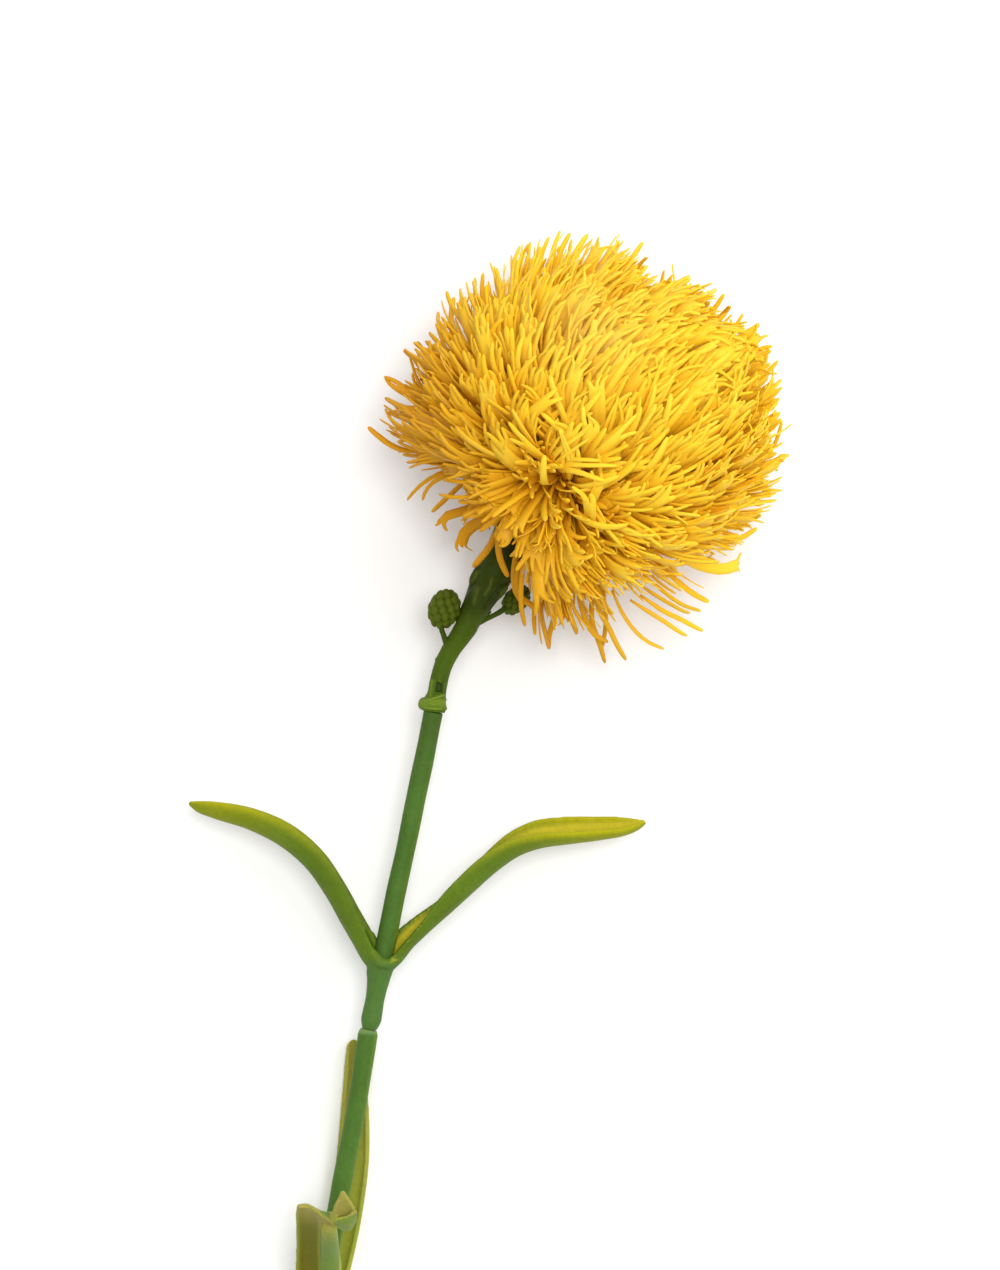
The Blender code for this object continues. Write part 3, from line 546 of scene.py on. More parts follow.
def strap_faces(number):
    """Quads of one strap, a flat body that parts into its prongs, and which are rims."""
    start = (BODY_ROWS + 1) * (number + 1) * 2
    body = np.arange(start).reshape(BODY_ROWS + 1, number + 1, 2)
    flats = []
    rims = [(a[0], b[0], b[1], a[1]) for a, b in zip(body[0], body[0, 1:])]
    for low, high in zip(body, body[1:]):
        for k in range(number):
            flats.append((low[k, 0], high[k, 0], high[k + 1, 0], low[k + 1, 0]))
            flats.append((low[k, 1], low[k + 1, 1], high[k + 1, 1], high[k, 1]))
        rims.append((low[0, 0], low[0, 1], high[0, 1], high[0, 0]))
        rims.append((low[-1, 0], high[-1, 0], high[-1, 1], low[-1, 1]))
    own = np.arange(start, start + number * PRONG_ROWS * 4).reshape(number, PRONG_ROWS, 4)
    for k in range(number):
        prong = np.concatenate([body[-1, k:k + 2].reshape(1, 4), own[k]])
        for a, b in zip(prong, prong[1:]):
            flats += [(a[0], b[0], b[2], a[2]), (a[1], a[3], b[3], b[1])]
            rims += [(a[0], a[1], b[1], b[0]), (a[2], b[2], b[3], a[3])]
        rims.append((b[0], b[1], b[3], b[2]))
    return np.array(flats + rims), np.arange(len(flats) + len(rims)) >= len(flats)


def node_tree(name):
    mat = bpy.data.materials.new(name)
    mat.use_nodes = True
    tree = mat.node_tree
    return mat, tree, tree.nodes["Principled BSDF"]


def plug(tree, node, inputs):
    """Link or set sockets of a node by name."""
    for socket, value in inputs:
        if hasattr(value, "is_linked"):
            tree.links.new(value, node.inputs[socket])
        else:
            node.inputs[socket].default_value = value


def linked(tree, kind, inputs=(), **settings):
    """New shader node with settings, sockets linked or set in order."""
    node = tree.nodes.new(kind)
    for key, value in settings.items():
        setattr(node, key, value)
    plug(tree, node, inputs)
    return node


def attribute(tree, name):
    return linked(tree, "ShaderNodeAttribute", attribute_name=name).outputs["Fac"]


def ramp(tree, factor, stops):
    node = linked(tree, "ShaderNodeValToRGB", [("Fac", factor)])
    band = node.color_ramp
    while len(band.elements) < len(stops):
        band.elements.new(0.5)
    for element, (at, colour) in zip(band.elements, stops):
        element.position = at
        element.color = tuple(colour) + (1.0,)
    return node.outputs["Color"]


def mixed(tree, factor, a, b, blend="MIX"):
    node = linked(tree, "ShaderNodeMix", data_type="RGBA", blend_type=blend)
    for name, value in (("Factor", factor), ("A", a), ("B", b)):
        socket = [i for i in node.inputs if i.name == name and i.enabled][0]
        if hasattr(value, "is_linked"):
            tree.links.new(value, socket)
        else:
            socket.default_value = value if name == "Factor" else tuple(value) + (1.0,)
    return [o for o in node.outputs if o.enabled][0]


def strap_material():
    mat, tree, shader = node_tree("strap_yellow")
    along, tone, pale, painted_side_shade, deep = (attribute(tree, key)
                                     for key in ("along", "tone", "pale", "painted_side_shade", "deep"))
    # Orange at the roots to yellow at the tips: the straps' own colour, and painted shade deep in the head
    length = ramp(tree, along, [(0.0, (0.97, 0.47, 0.010)), (0.4, (0.98, 0.58, 0.020)),
                                (0.72, (0.985, 0.65, 0.032)), (1.0, (0.985, 0.65, 0.032))])
    varied = ramp(tree, tone, [(0.0, (0.97, 0.56, 0.016)), (0.55, (0.98, 0.61, 0.024)),
                               (1.0, (0.99, 0.70, 0.055))])
    colour = mixed(tree, 0.5, length, varied)
    # Painted shade: the first tint, more orange, deep inside the head; the second, darker, toward the lower
    # left, away from the key lamp
    for factor, tint in ((deep, (0.985, 0.54, 0.014)), (painted_side_shade, (0.62, 0.28, 0.004)),
                         (pale, (0.94, 0.74, 0.24))):
        colour = mixed(tree, factor, colour, tint)
    plug(tree, shader, [("Base Color", colour), ("Roughness", 0.42), ("Subsurface Weight", 0.2),
                        ("Subsurface Radius", (1.0, 0.7, 0.3)), ("Subsurface Scale", 0.0005),
                        ("Specular IOR Level", 0.15)])
    return mat


def core_material():
    mat, tree, shader = node_tree("core_orange")
    grain = linked(tree, "ShaderNodeTexNoise", [("Scale", 400.0), ("Detail", 3.0)])
    colour = ramp(tree, grain.outputs["Fac"], [(0.3, (0.76, 0.33, 0.006)), (0.7, (0.88, 0.44, 0.010))])
    plug(tree, shader, [("Base Color", colour), ("Roughness", 0.6)])
    return mat


def finish_piece(obj, mat, slot, *nodes):
    obj.data.materials.clear()
    obj.data.materials.append(mat)
    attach(obj, "root")
    if nodes:
        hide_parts(*nodes)


def build_bloom():
    mat = strap_material()
    pale_spot = place(592, 312, 74)
    shade_way = unit(SHADE_WAY)
    for name, (verts, (faces, rims), along, tone) in strap_groups().items():
        n, each = verts.shape[:2]
        offset = (np.arange(n) * each)[:, None, None]
        points = verts.reshape(-1, 3)
        obj = to_object(name, points, (faces[None] + offset).reshape(-1, 4))
        sharp = obj.data.attributes.new("sharp_face", "BOOLEAN", "FACE")
        sharp.data.foreach_set("value", np.tile(rims, n))
        along = along.ravel()
        give(obj, "along", along)
        give(obj, "tone", tone.ravel())
        far = np.linalg.norm(points - pale_spot, axis=1)
        give(obj, "pale", 0.85 * (bell(far, 0.0, PALE_SIZE) * (1.0 - 0.8 * smooth(along, 0.45, 0.9))))
        out = points - HEAD
        share = np.linalg.norm(out, axis=1) / envelope(unit(out))
        # Painted shade: a more orange tint deep inside the head, between the straps
        give(obj, "deep", 0.45 * (1.0 - smooth(share, 0.66, 0.95)))
        # Painted shade toward the lower left, the side away from the key lamp
        give(obj, "painted_side_shade", 0.9 * smooth(out @ shade_way, -4.0, 34.0))
        finish_piece(obj, mat, "petal_yellow", "bloom")
    rings = []
    for k in range(CORE_ROWS):
        a = math.pi * (k + 0.5) / CORE_ROWS
        turns = np.arange(CORE_SIDES) * math.pi / (CORE_SIDES / 2)
        rings.append([CORE + CORE_RADIUS * (math.cos(a) * AXIS + math.sin(a) * (
            math.cos(b) * SIDE_A + math.sin(b) * SIDE_B)) for b in turns])
    core = loft("bloom_core", rings)
    finish_piece(core, core_material(), "petal_yellow")


def loft(name, rings):
    """Closed skin through rings of equal point count, a fan at either end."""
    rings = np.array(rings)
    rows, n = rings.shape[:2]
    verts = np.concatenate([rings.reshape(-1, 3), [rings[0].mean(axis=0)], [rings[-1].mean(axis=0)]])
    here = np.arange(rows * n).reshape(rows, n)
    after = np.roll(here, -1, axis=1)
    quads = np.stack([here[:-1], after[:-1], after[1:], here[1:]], axis=2).reshape(-1, 4)
    low = np.stack([after[0], here[0], np.full(n, rows * n)], axis=1)
    high = np.stack([here[-1], after[-1], np.full(n, rows * n + 1)], axis=1)
    return to_object(name, verts, np.concatenate([quads[:, [0, 1, 2]], quads[:, [0, 2, 3]], low, high]))


def picture(points):
    """Picture point of each place."""
    k = VIEW_SCALE * (VIEW_HEIGHT - points[:, 2]) / VIEW_RANGE
    return np.stack([(points[:, 0] - VIEW_X) / k + VIEW_U, VIEW_V - (points[:, 1] - VIEW_Y) / k], axis=1)


def tube_rings(stations, rows, sides, lift=None, low=0.0, high=0.0):
    """Round rings along (x, y, z, radius) stations; lift adds to the radius.

    Low and high are the heights of the domes that close the two ends.
    """
    fine = curve(stations, rows)
    for end, size in ((0, low), (-1, high)):
        if size == 0.0:
            continue
        tip = fine[end]
        way = unit(tip[:3] - (fine[1] if end == 0 else fine[-2])[:3])
        dome = np.array([np.append(tip[:3] + way * size * math.sin(a), tip[3] * math.cos(a))
                         for a in np.radians((15, 30, 45, 60, 75, 87))])
        fine = np.concatenate([dome[::-1], fine] if end == 0 else [fine, dome])
    rows = len(fine)
    axis = unit(np.gradient(fine[:, :3], axis=0))
    side = unit(np.cross(axis, UP))
    front = np.cross(side, axis)
    turn = np.arange(sides) * 2 * math.pi / sides
    out = np.cos(turn)[None, :, None] * side[:, None] + np.sin(turn)[None, :, None] * front[:, None]
    radius = np.repeat(fine[:, 3:4], sides, axis=1)
    if lift is not None:
        at = np.linspace(0.0, 1.0, rows)[:, None]
        base = fine[:, None, :3] + out * radius[..., None]
        radius = radius + lift(at, turn[None, :], base)
    return fine[:, None, :3] + out * radius[..., None]


def with_radius(line, radii):
    return [tuple(p) + (r,) for p, r in zip(line, radii)]


NECK_LINE = places((433.9, 711.9, 20.0), (434.1, 710, 20.0), (434.9, 701, 20.1), (436.2, 696, 20.2),
                   (438.7, 682, 20.45), (443.5, 665, 20.8), (451, 650, 21.1), (461, 635, 21.5),
                   (466.5, 626.4, 21.8), (471.5, 616, 22.0))
NECK_RADII = (2.45, 2.62, 2.6, 2.25, 2.1, 2.1, 2.2, 2.45, 2.6, 2.3)
ROD_TOP = places((433.3, 712.4, 19.95), (431.6, 721, 19.8), (425, 755, 19.2), (415.5, 800, 18.5),
                 (406.5, 845, 17.7), (396.5, 890, 17.0), (387.5, 935, 16.3), (382.2, 961.5, 15.85))
SLEEVE_TOP = places((381.9, 963, 15.8), (379.4, 971.5, 15.65), (378.4, 979, 15.5), (376.4, 991, 15.3),
                    (374.8, 1000, 15.2), (372.6, 1012, 15.0), (371.1, 1020, 14.9), (369.3, 1028.4, 14.75))
ROD_MIDDLE = places((368.7, 1030.6, 14.7), (367.9, 1034.2, 14.65), (367.2, 1039, 14.6), (354, 1122, 13.1),
                    (342, 1183, 12.0), (328, 1260, 10.6), (317.5, 1322, 9.5))
SLEEVE_LOW = places((317.2, 1324, 9.45), (315.6, 1332, 9.3), (314.3, 1340, 9.15), (312.2, 1351, 8.95),
                    (310.8, 1362, 8.8), (309, 1373, 8.6), (307, 1385, 8.4), (305.3, 1393, 8.3))
ROD_LOW = places((304.8, 1395, 8.2), (304.3, 1399, 8.15), (303.7, 1404, 8.1), (294, 1460, 7.1),
                 (278, 1555, 5.4), (262, 1640, 3.9), (243, 1742, 2.4))
ROD_RADIUS = 2.25
SLEEVE_RADII = (3.0, 2.68, 2.32, 2.2, 2.32, 2.34, 1.75)
# Cup on a sleeve and the seat for the rod above: height over the sleeve's top, radius
CUP = ((1.3, 3.3), (0.3, 3.15), (-0.8, 3.0))
SEAT = ((-2.5, 1.9), (0.5, ROD_RADIUS + 0.15), (22.0, ROD_RADIUS + 0.35))
BUD_SEATS = places((447, 643.5, 21.7), (478.5, 622, 21.8))
BUD_STALKS = (places((443.6, 635.2, 21.9), (441.6, 629, 22.0), (442.2, 620, 22.3)),
              places((486, 619, 21.6), (499, 612.6, 20.8), (510, 605, 19.8)))
BUD_STALK_RADII = (0.85, 0.62, 0.62, 0.8)
BUDS = (("bud_left", place(444.2, 609.0, 22.4), place(451.2, 589, 22.8), 4.6, 3.6),
        ("bud_right", place(516, 600, 18.8), place(528.5, 586, 18.8), 3.9, 2.7))
KNOBS = 50
BUD_ROWS = 72
BUD_SIDES = 96
SCALES = 15
SCALE_LENGTH = 0.40
# Picture places on the neck: the framed recess, the folds of the collar
LOBE_AT = 703.8
LOBE_HALF = 6.4
LOBE_RISE = 1.05
WINDOW_AT = (439.5, 687.0)
WINDOW_HALF = (3.5, 4.9)
WINDOW_TILT = 12.0
WINDOW_DEPTH = 0.85
FRAME_RISE = 0.36
KNOB_RISE = 0.55
WINDOW_KNOB = ((440.0, 682.6), (441.8, 683.7), (443.6, 684.8))
FOLDS = (((425.6, 701.5), (433.2, 698.5), (443.5, 695.4), 0.42, 1.3),
         ((430.0, 703.6), (437.0, 704.2), (442.5, 701.0), 0.3, 1.1),
         ((425.0, 707.8), (434.0, 708.8), (441.5, 708.8), 0.34, 1.3))
CALYX_FOLDS = (((513.0, 578.0), (498.0, 588.5), (484.5, 607.5), -0.5, 1.5),
               ((498.5, 592.0), (496.5, 599.0), (491.5, 607.5), -0.4, 1.2),
               ((480.5, 567.0), (476.8, 579.5), (466.0, 592.0), -0.5, 1.3),
               ((478.0, 571.0), (474.0, 578.0), (469.5, 583.5), 0.5, 2.2),
               ((492.5, 578.0), (490.0, 586.0), (485.0, 594.5), 0.4, 2.0),
               ((477.5, 588.0), (475.5, 595.0), (474.0, 603.0), 0.35, 2.2),
               ((506.0, 588.0), (502.0, 594.0), (499.5, 600.0), 0.4, 2.2))

# Leaves: picture point, height, width, depth and sometimes a roll in degrees
LEAF_LEFT = ((381, 972, 15.8, 5.0, 3.2), (371, 957, 15.8, 7.8, 4.2, 10),
             (362, 940, 16.0, 8.4, 4.5, 8), (350, 918, 16.3, 9.0, 4.8, 4),
             (335, 890, 16.4, 9.6, 5.1), (314, 860, 16.0, 9.8, 5.3),
             (286, 836, 15.0, 9.6, 5.4), (250, 819, 13.8, 8.8, 4.9),
             (214, 810, 12.6, 6.8, 3.8), (198, 806.2, 12.1, 4.4, 2.6),
             (189, 802.6, 11.9, 1.6, 1.0))
LEAF_RIGHT = ((381, 972, 15.8, 5.0, 3.2), (394, 957, 15.8, 7.2, 4.0, 24),
              (407, 941, 16.0, 7.4, 3.8, 26), (420, 929, 16.2, 7.8, 3.8, 18),
              (444, 907, 16.4, 8.8, 4.2, -2), (468, 884, 16.3, 9.4, 4.6, -6),
              (492, 862, 15.9, 9.6, 4.9, -1), (516, 845.5, 15.4, 9.4, 5.0, 10),
              (540, 837, 14.8, 9.0, 5.0, 21), (564, 834, 14.0, 8.6, 4.7, 25),
              (600, 831, 13.0, 7.4, 3.9, 26), (626, 828, 12.4, 5.6, 3.0, 26),
              (638, 825, 12.1, 3.8, 2.1, 20), (645.5, 821.8, 12.0, 1.6, 1.0, 10))
LEAF_BACK = ((315.5, 1334, 9.0, 5.0, 3.2), (318.5, 1318, 7.0, 7.2, 4.2),
             (326, 1295, 4.6, 7.8, 3.8), (337, 1255, 2.6, 7.8, 3.4),
             (347, 1205, 1.8, 7.8, 3.2), (353.5, 1150, 1.7, 7.6, 3.2),
             (355, 1110, 1.7, 6.6, 3.2), (355, 1075, 1.65, 5.2, 3.0),
             (354.5, 1052, 1.6, 4.0, 2.4), (353.5, 1043, 1.6, 2.8, 1.6),
             (353, 1039.5, 1.6, 1.2, 1.0))
LEAF_FRONT = ((315.5, 1334, 9.6, 5.0, 3.2), (316, 1318, 12.0, 8.0, 4.6),
              (316, 1292, 16.5, 9.6, 5.0), (317.5, 1264, 22.5, 10.6, 5.2),
              (319, 1244, 29.5, 10.9, 5.2), (319.5, 1232, 37.0, 11.0, 5.0),
              (321, 1223, 42.5, 10.7, 4.6), (330, 1215, 46.5, 8.0, 3.8),
              (338, 1207, 49.3, 5.6, 2.8), (342.5, 1198, 51.0, 2.6, 1.4))
# The same leaf as sheets through rows of picture points with heights
BLADE = (
    ((297.5, 1206.5, 46), (304.5, 1204.8, 45.5), (313, 1208, 45), (321.5, 1213.5, 44.6), (331, 1220.5, 44.5)),
    ((296.4, 1214, 42), (303, 1212, 41), (312, 1214, 40.5), (321, 1219, 41), (331, 1225, 42)),
    ((296.6, 1226, 37), (303, 1226, 35.5), (312, 1227, 35), (321, 1229, 36), (330, 1232, 38)),
    ((297.2, 1244, 30.5), (303, 1244, 28.5), (312, 1244, 28), (321, 1245, 29), (329, 1246, 31)),
    ((296.8, 1264, 24), (303, 1264, 22), (312, 1264, 21.5), (321, 1264, 22.5), (329, 1264, 24)),
    ((298, 1292, 17.5), (304, 1292, 16), (313, 1292, 15.5), (322, 1292, 16), (330, 1292, 17.5)),
    ((306, 1318, 12.5), (311, 1318, 12), (316, 1318, 12), (321, 1318, 12), (326, 1318, 12.5)),
    ((312, 1334, 9.6), (314, 1334, 9.6), (316, 1334, 9.6), (318, 1334, 9.6), (320, 1334, 9.6)))
BACK_PATCH = (
    ((313, 1208.5, 43.8), (320, 1211, 43.8), (325, 1212, 44.6), (330, 1212.3, 46.4), (336, 1211.5, 49.0)),
    ((315, 1211, 44), (321, 1213.6, 44), (326, 1215, 44.8), (331, 1216.0, 46.4), (337.5, 1216, 48.8)),
    ((318, 1213.5, 44.6), (323, 1216.5, 44.9), (329, 1220, 45.4), (336, 1224.0, 46.6), (344, 1228.6, 47.0)))
TIP_IN = (
    ((341.8, 1192.2, 52.3), (342.3, 1191.6, 52.2), (342.8, 1191.3, 52.2), (343.4, 1191.7, 52.2),
     (344.2, 1192.5, 52.2)),
    ((338, 1199.5, 51.4), (340.5, 1199, 51.2), (343.5, 1198.6, 51.2), (346.5, 1199, 51.2),
     (349.5, 1200.2, 51.4)),
    ((333.8, 1208, 50.2), (338, 1208, 49.8), (343.5, 1208, 49.8), (349, 1208, 50), (354, 1207.5, 50.6)),
    ((332.8, 1215, 49), (338, 1216, 48.6), (343.5, 1216.5, 48.6), (349.5, 1214.5, 49), (355.4, 1210.5, 50)))
TIP_OUT = (
    ((335.5, 1217.4, 49.8), (340, 1217.8, 50.9), (345, 1217.0, 51.5), (350.5, 1214.0, 51.9),
     (356.2, 1209.6, 51.9)),
    ((335.5, 1220, 49.4), (341, 1221, 50.7), (346, 1221, 51), (351, 1218.5, 51), (356.2, 1214.6, 50)),
    ((338, 1223.4, 48), (344, 1225.4, 48.5), (348, 1226.2, 48.5), (352, 1224, 48.3), (355.2, 1221, 47.8)),
    ((344, 1227.8, 46.5), (346, 1229.2, 46.5), (348.3, 1230, 46.5), (350, 1228.8, 46.5), (352, 1226.6, 46.5)))
STRIP = ((329, 1226.5, 42.5, 1.75), (329.3, 1236, 38.2, 2.0), (329.6, 1250, 31, 2.2),
         (330.2, 1270, 24.3, 2.6), (328, 1295, 18.0, 2.3), (320, 1325, 11.5, 1.8))
RIM = ((311, 1207.6, 45.6, 0.45), (317, 1211.3, 45.6, 0.5), (329, 1219.4, 46, 0.55),
       (339, 1226, 46.6, 0.6), (347.5, 1229.8, 46.8, 0.5))
CUP_BAND = ((358, 932, 18.6, 0.7), (368.6, 948, 19.0, 1.0), (375.7, 957.3, 19.3, 1.15),
            (382.9, 963.6, 19.5, 1.15), (389, 963.6, 19.4, 1.05), (395, 962.2, 19.0, 0.9),
            (401.5, 959.4, 18.4, 0.6))
EAR = ((366.5, 930, 15.6, 0.5), (371.0, 935.5, 15.6, 0.95), (373.6, 941.5, 15.6, 0.95),
       (375.5, 948, 15.6, 0.6))
CROSSWISE = unit(np.array([0.975, -0.21, 0.0]))
TOWARD_HEAD = np.array([0.0, 1.0, 0.0])
LEAF_WALL = 1.05
LEAF_STEPS = 60
VOXEL = 0.27
SKIN_ROUGHNESS = 0.5
SKIN_BUMP = 0.12
FLOOR_HALF = 3.0
# Name, place in metres, size, power and colour of each lamp
LAMPS = (("key", (0.7, 0.8, 0.95), 1.9, 9.5, (1.0, 0.99, 0.97)),
         ("front", (0.10, 0.20, 1.35), 0.5, 8.5, (1.0, 0.995, 0.98)))
WORLD_STRENGTH = 0.62


def greens(name, base, dark, warm_tint_and_highlight, inner_and_shade_tint=(0.30, 0.22, 0.02), fresh=(0.12, 0.24, 0.04)):
    """Soft waxy plant skin: base and dark greens, other tints where the mesh says so, among them painted
    highlights and painted shade.
    """
    mat, tree, shader = node_tree(name)
    spot = linked(tree, "ShaderNodeTexCoord").outputs["Object"]
    cloud, fine = (linked(tree, "ShaderNodeTexNoise", [("Vector", spot), ("Scale", size), ("Detail", detail)])
                   for size, detail in ((90.0, 3.0), (900.0, 2.0)))
    colour = ramp(tree, cloud.outputs["Fac"], [(0.32, dark), (0.68, base)])
    for key, tint in (("warm_tint_and_highlight", warm_tint_and_highlight), ("inner", inner_and_shade_tint), ("fresh", fresh)):
        colour = mixed(tree, attribute(tree, key), colour, tint)
    speck = ramp(tree, fine.outputs["Fac"], [(0.35, (0.90, 0.90, 0.90)), (0.65, (1.0, 1.0, 1.0))])
    colour = mixed(tree, 1.0, colour, speck, "MULTIPLY")
    rough = linked(tree, "ShaderNodeMapRange", [("Value", cloud.outputs["Fac"]),
                                                ("To Min", SKIN_ROUGHNESS - 0.06),
                                                ("To Max", SKIN_ROUGHNESS + 0.08)])
    relief = linked(tree, "ShaderNodeBump", [("Height", fine.outputs["Fac"]), ("Strength", SKIN_BUMP),
                                             ("Distance", 0.0001)])
    plug(tree, shader, [("Base Color", colour), ("Roughness", rough.outputs["Result"]),
                        ("Normal", relief.outputs["Normal"]), ("Specular IOR Level", 0.08),
                        ("Subsurface Weight", 0.2), ("Subsurface Radius", (0.5, 0.8, 0.15)),
                        ("Subsurface Scale", 0.0012)])
    return mat


def vertex_rows(obj, key):
    """One vector for every point of a mesh, read from its co or normal."""
    rows = np.zeros(len(obj.data.vertices) * 3, np.float32)
    obj.data.vertices.foreach_get(key, rows)
    return rows.reshape(-1, 3).astype(float)


def points_of(obj):
    return vertex_rows(obj, "co") / MM


def ridge(uv, spots, size):
    """How near each picture point is to a line through the spots, 1 on it."""
    dense = curve([tuple(s) + (0.0,) for s in spots], 24)
    flat = np.concatenate([uv, np.zeros((len(uv), 1))], axis=1)
    return bell(near_line(flat, dense)[1], 0.0, size)


def neck_lift(at, turn, base):
    """Relief of the neck: lobe, folds, framed recess, small knob, swollen top."""
    shape = base.shape[:2]

    def all_points(values):
        return np.broadcast_to(values, shape).reshape(-1)

    uv = picture(base.reshape(-1, 3))
    v = uv[:, 1]
    facing = smooth(all_points(np.sin(turn)), 0.1, 0.45)
    left = all_points(bell(turn, math.pi * 0.97, 0.52))
    lift = LOBE_RISE * left * np.sqrt(np.clip(1.0 - ((v - LOBE_AT) / LOBE_HALF) ** 2, 0.0, 1.0))
    for *spots, height, size in FOLDS:
        lift += height * facing * ridge(uv, spots, size)
    behind = smooth(all_points(-np.sin(turn)), -0.1, 0.3)
    lift += 0.35 * behind * (bell(v, 699.5, 1.8) + bell(v, 708.5, 1.8))
    off = uv - np.array(WINDOW_AT)
    tilt = math.radians(WINDOW_TILT)
    x = (off[:, 0] * math.cos(tilt) + off[:, 1] * math.sin(tilt)) / WINDOW_HALF[0]
    y = (off[:, 1] * math.cos(tilt) - off[:, 0] * math.sin(tilt)) / WINDOW_HALF[1]
    box = np.maximum(np.abs(x), np.abs(y))
    lift -= WINDOW_DEPTH * facing * (1.0 - smooth(box, 0.78, 1.02))
    rise = FRAME_RISE * smooth(y, -1.6, -0.9)
    lift += facing * rise * bell(box, 1.32, 0.27)
    lift += KNOB_RISE * facing * ridge(uv, WINDOW_KNOB, 1.0)
    lift += 0.22 * bell(v, 659, 2.0) * left
    return lift.reshape(shape)


def scale_lift(at, turn, base):
    """Overlapping pointed scales wound round the spindle."""
    total = np.zeros(np.broadcast(at, turn).shape)
    for i in range(SCALES):
        start = -0.22 + 0.86 * i / (SCALES - 1)
        centre = i * math.radians(137.5)
        y = (at - start) / SCALE_LENGTH
        half = 0.95 * np.sqrt(np.clip(1.0 - np.clip(y, 0.0, 1.0) ** 2.2, 0.0, 1.0))
        x = np.abs((turn - centre + math.pi) % (2 * math.pi) - math.pi)
        inside = smooth(half - x, 0.0, 0.16) * smooth(y, -0.05, 0.1) * (y < 1.0)
        height = 0.10 + 0.5 * np.clip(y, 0.0, 1.0) ** 1.1 - 0.28 * (x / 0.95) ** 2
        height += 0.12 * bell(x, 0.0, 0.16)
        total = np.maximum(total, inside * np.maximum(height, 0.0))
    return total


def calyx_lift(at, turn, base):
    """Scales with soft creases and ridges on the front."""
    uv = picture(base.reshape(-1, 3))
    front = smooth(np.sin(turn), -0.2, 0.35)
    drawn = 0.25 * smooth(-uv[:, 1], -622.0, -606.0)
    for *spots, height, size in CALYX_FOLDS:
        drawn += 1.3 * height * ridge(uv, spots, size)
    back = scale_lift(at, turn, base) * smooth(at, 0.02, 0.2)
    return back * (1.0 - 0.75 * front) + front * drawn.reshape(base.shape[:2])


def build_neck_and_calyx():
    neck = loft("neck_skin", tube_rings(with_radius(NECK_LINE, NECK_RADII), 300, 112, neck_lift))
    uv = picture(points_of(neck))
    u, v = uv.T
    warm_tint_and_highlight = bell(v, 703, 6.0) * 0.75
    # Painted highlights along the folds of the collar
    for *spots, height, size in FOLDS:
        warm_tint_and_highlight = np.maximum(warm_tint_and_highlight, 0.95 * ridge(uv, spots, size))
    # Painted shade inside the framed recess
    inside = smooth(-np.abs(u - WINDOW_AT[0] + 0.2 * (v - WINDOW_AT[1])), -4.2, -3.0)
    inside = inside * smooth(-np.abs(v - WINDOW_AT[1]), -5.8, -4.4) * (points_of(neck)[:, 2] > 20.5)
    warm_tint_and_highlight = np.maximum(warm_tint_and_highlight, 0.5 * ridge(uv, ((432.2, 681.0), (431.2, 688.0), (430.2, 695.5)), 2.0))
    # Painted highlight on the small knob at the top of the recess
    warm_tint_and_highlight = np.maximum(warm_tint_and_highlight, ridge(uv, WINDOW_KNOB, 1.2))
    give(neck, "inner", 0.85 * inside)
    give(neck, "warm_tint_and_highlight", warm_tint_and_highlight)
    give(neck, "fresh", 1.0 - smooth(v, 626.0, 668.0))
    mat = greens("neck_green", (0.078, 0.135, 0.006), (0.055, 0.10, 0.005), (0.20, 0.30, 0.03),
                 (0.035, 0.07, 0.012), (0.060, 0.100, 0.004))
    finish_piece(neck, mat, "neck_green", "neck")
    calyx = loft("calyx_skin", tube_rings(with_radius(CALYX_LINE, CALYX_RADII - 0.25), 230, 120,
                                          calyx_lift, 0.8))
    uv = picture(points_of(calyx))
    give(calyx, "fresh", smooth(uv[:, 1], 603.0, 628.0))
    # Painted highlights along the raised folds of the calyx
    warm_tint_and_highlight = np.zeros(len(uv))
    for *spots, height, size in CALYX_FOLDS:
        if height > 0:
            warm_tint_and_highlight = np.maximum(warm_tint_and_highlight, 0.6 * ridge(uv, spots, size))
    give(calyx, "warm_tint_and_highlight", warm_tint_and_highlight)
    mat = greens("calyx_green", (0.038, 0.060, 0.003), (0.027, 0.040, 0.003), (0.085, 0.12, 0.01),
                 fresh=(0.058, 0.098, 0.004))
    finish_piece(calyx, mat, "calyx_green", "calyx")


def fibonacci(count):
    """Even directions over a ball."""
    k = np.arange(count) + 0.5
    z = 1 - 2 * k / count
    turn = math.pi * (3 - math.sqrt(5)) * k
    r = np.sqrt(1 - z * z)
    return np.stack([r * np.cos(turn), r * np.sin(turn), z], axis=1)


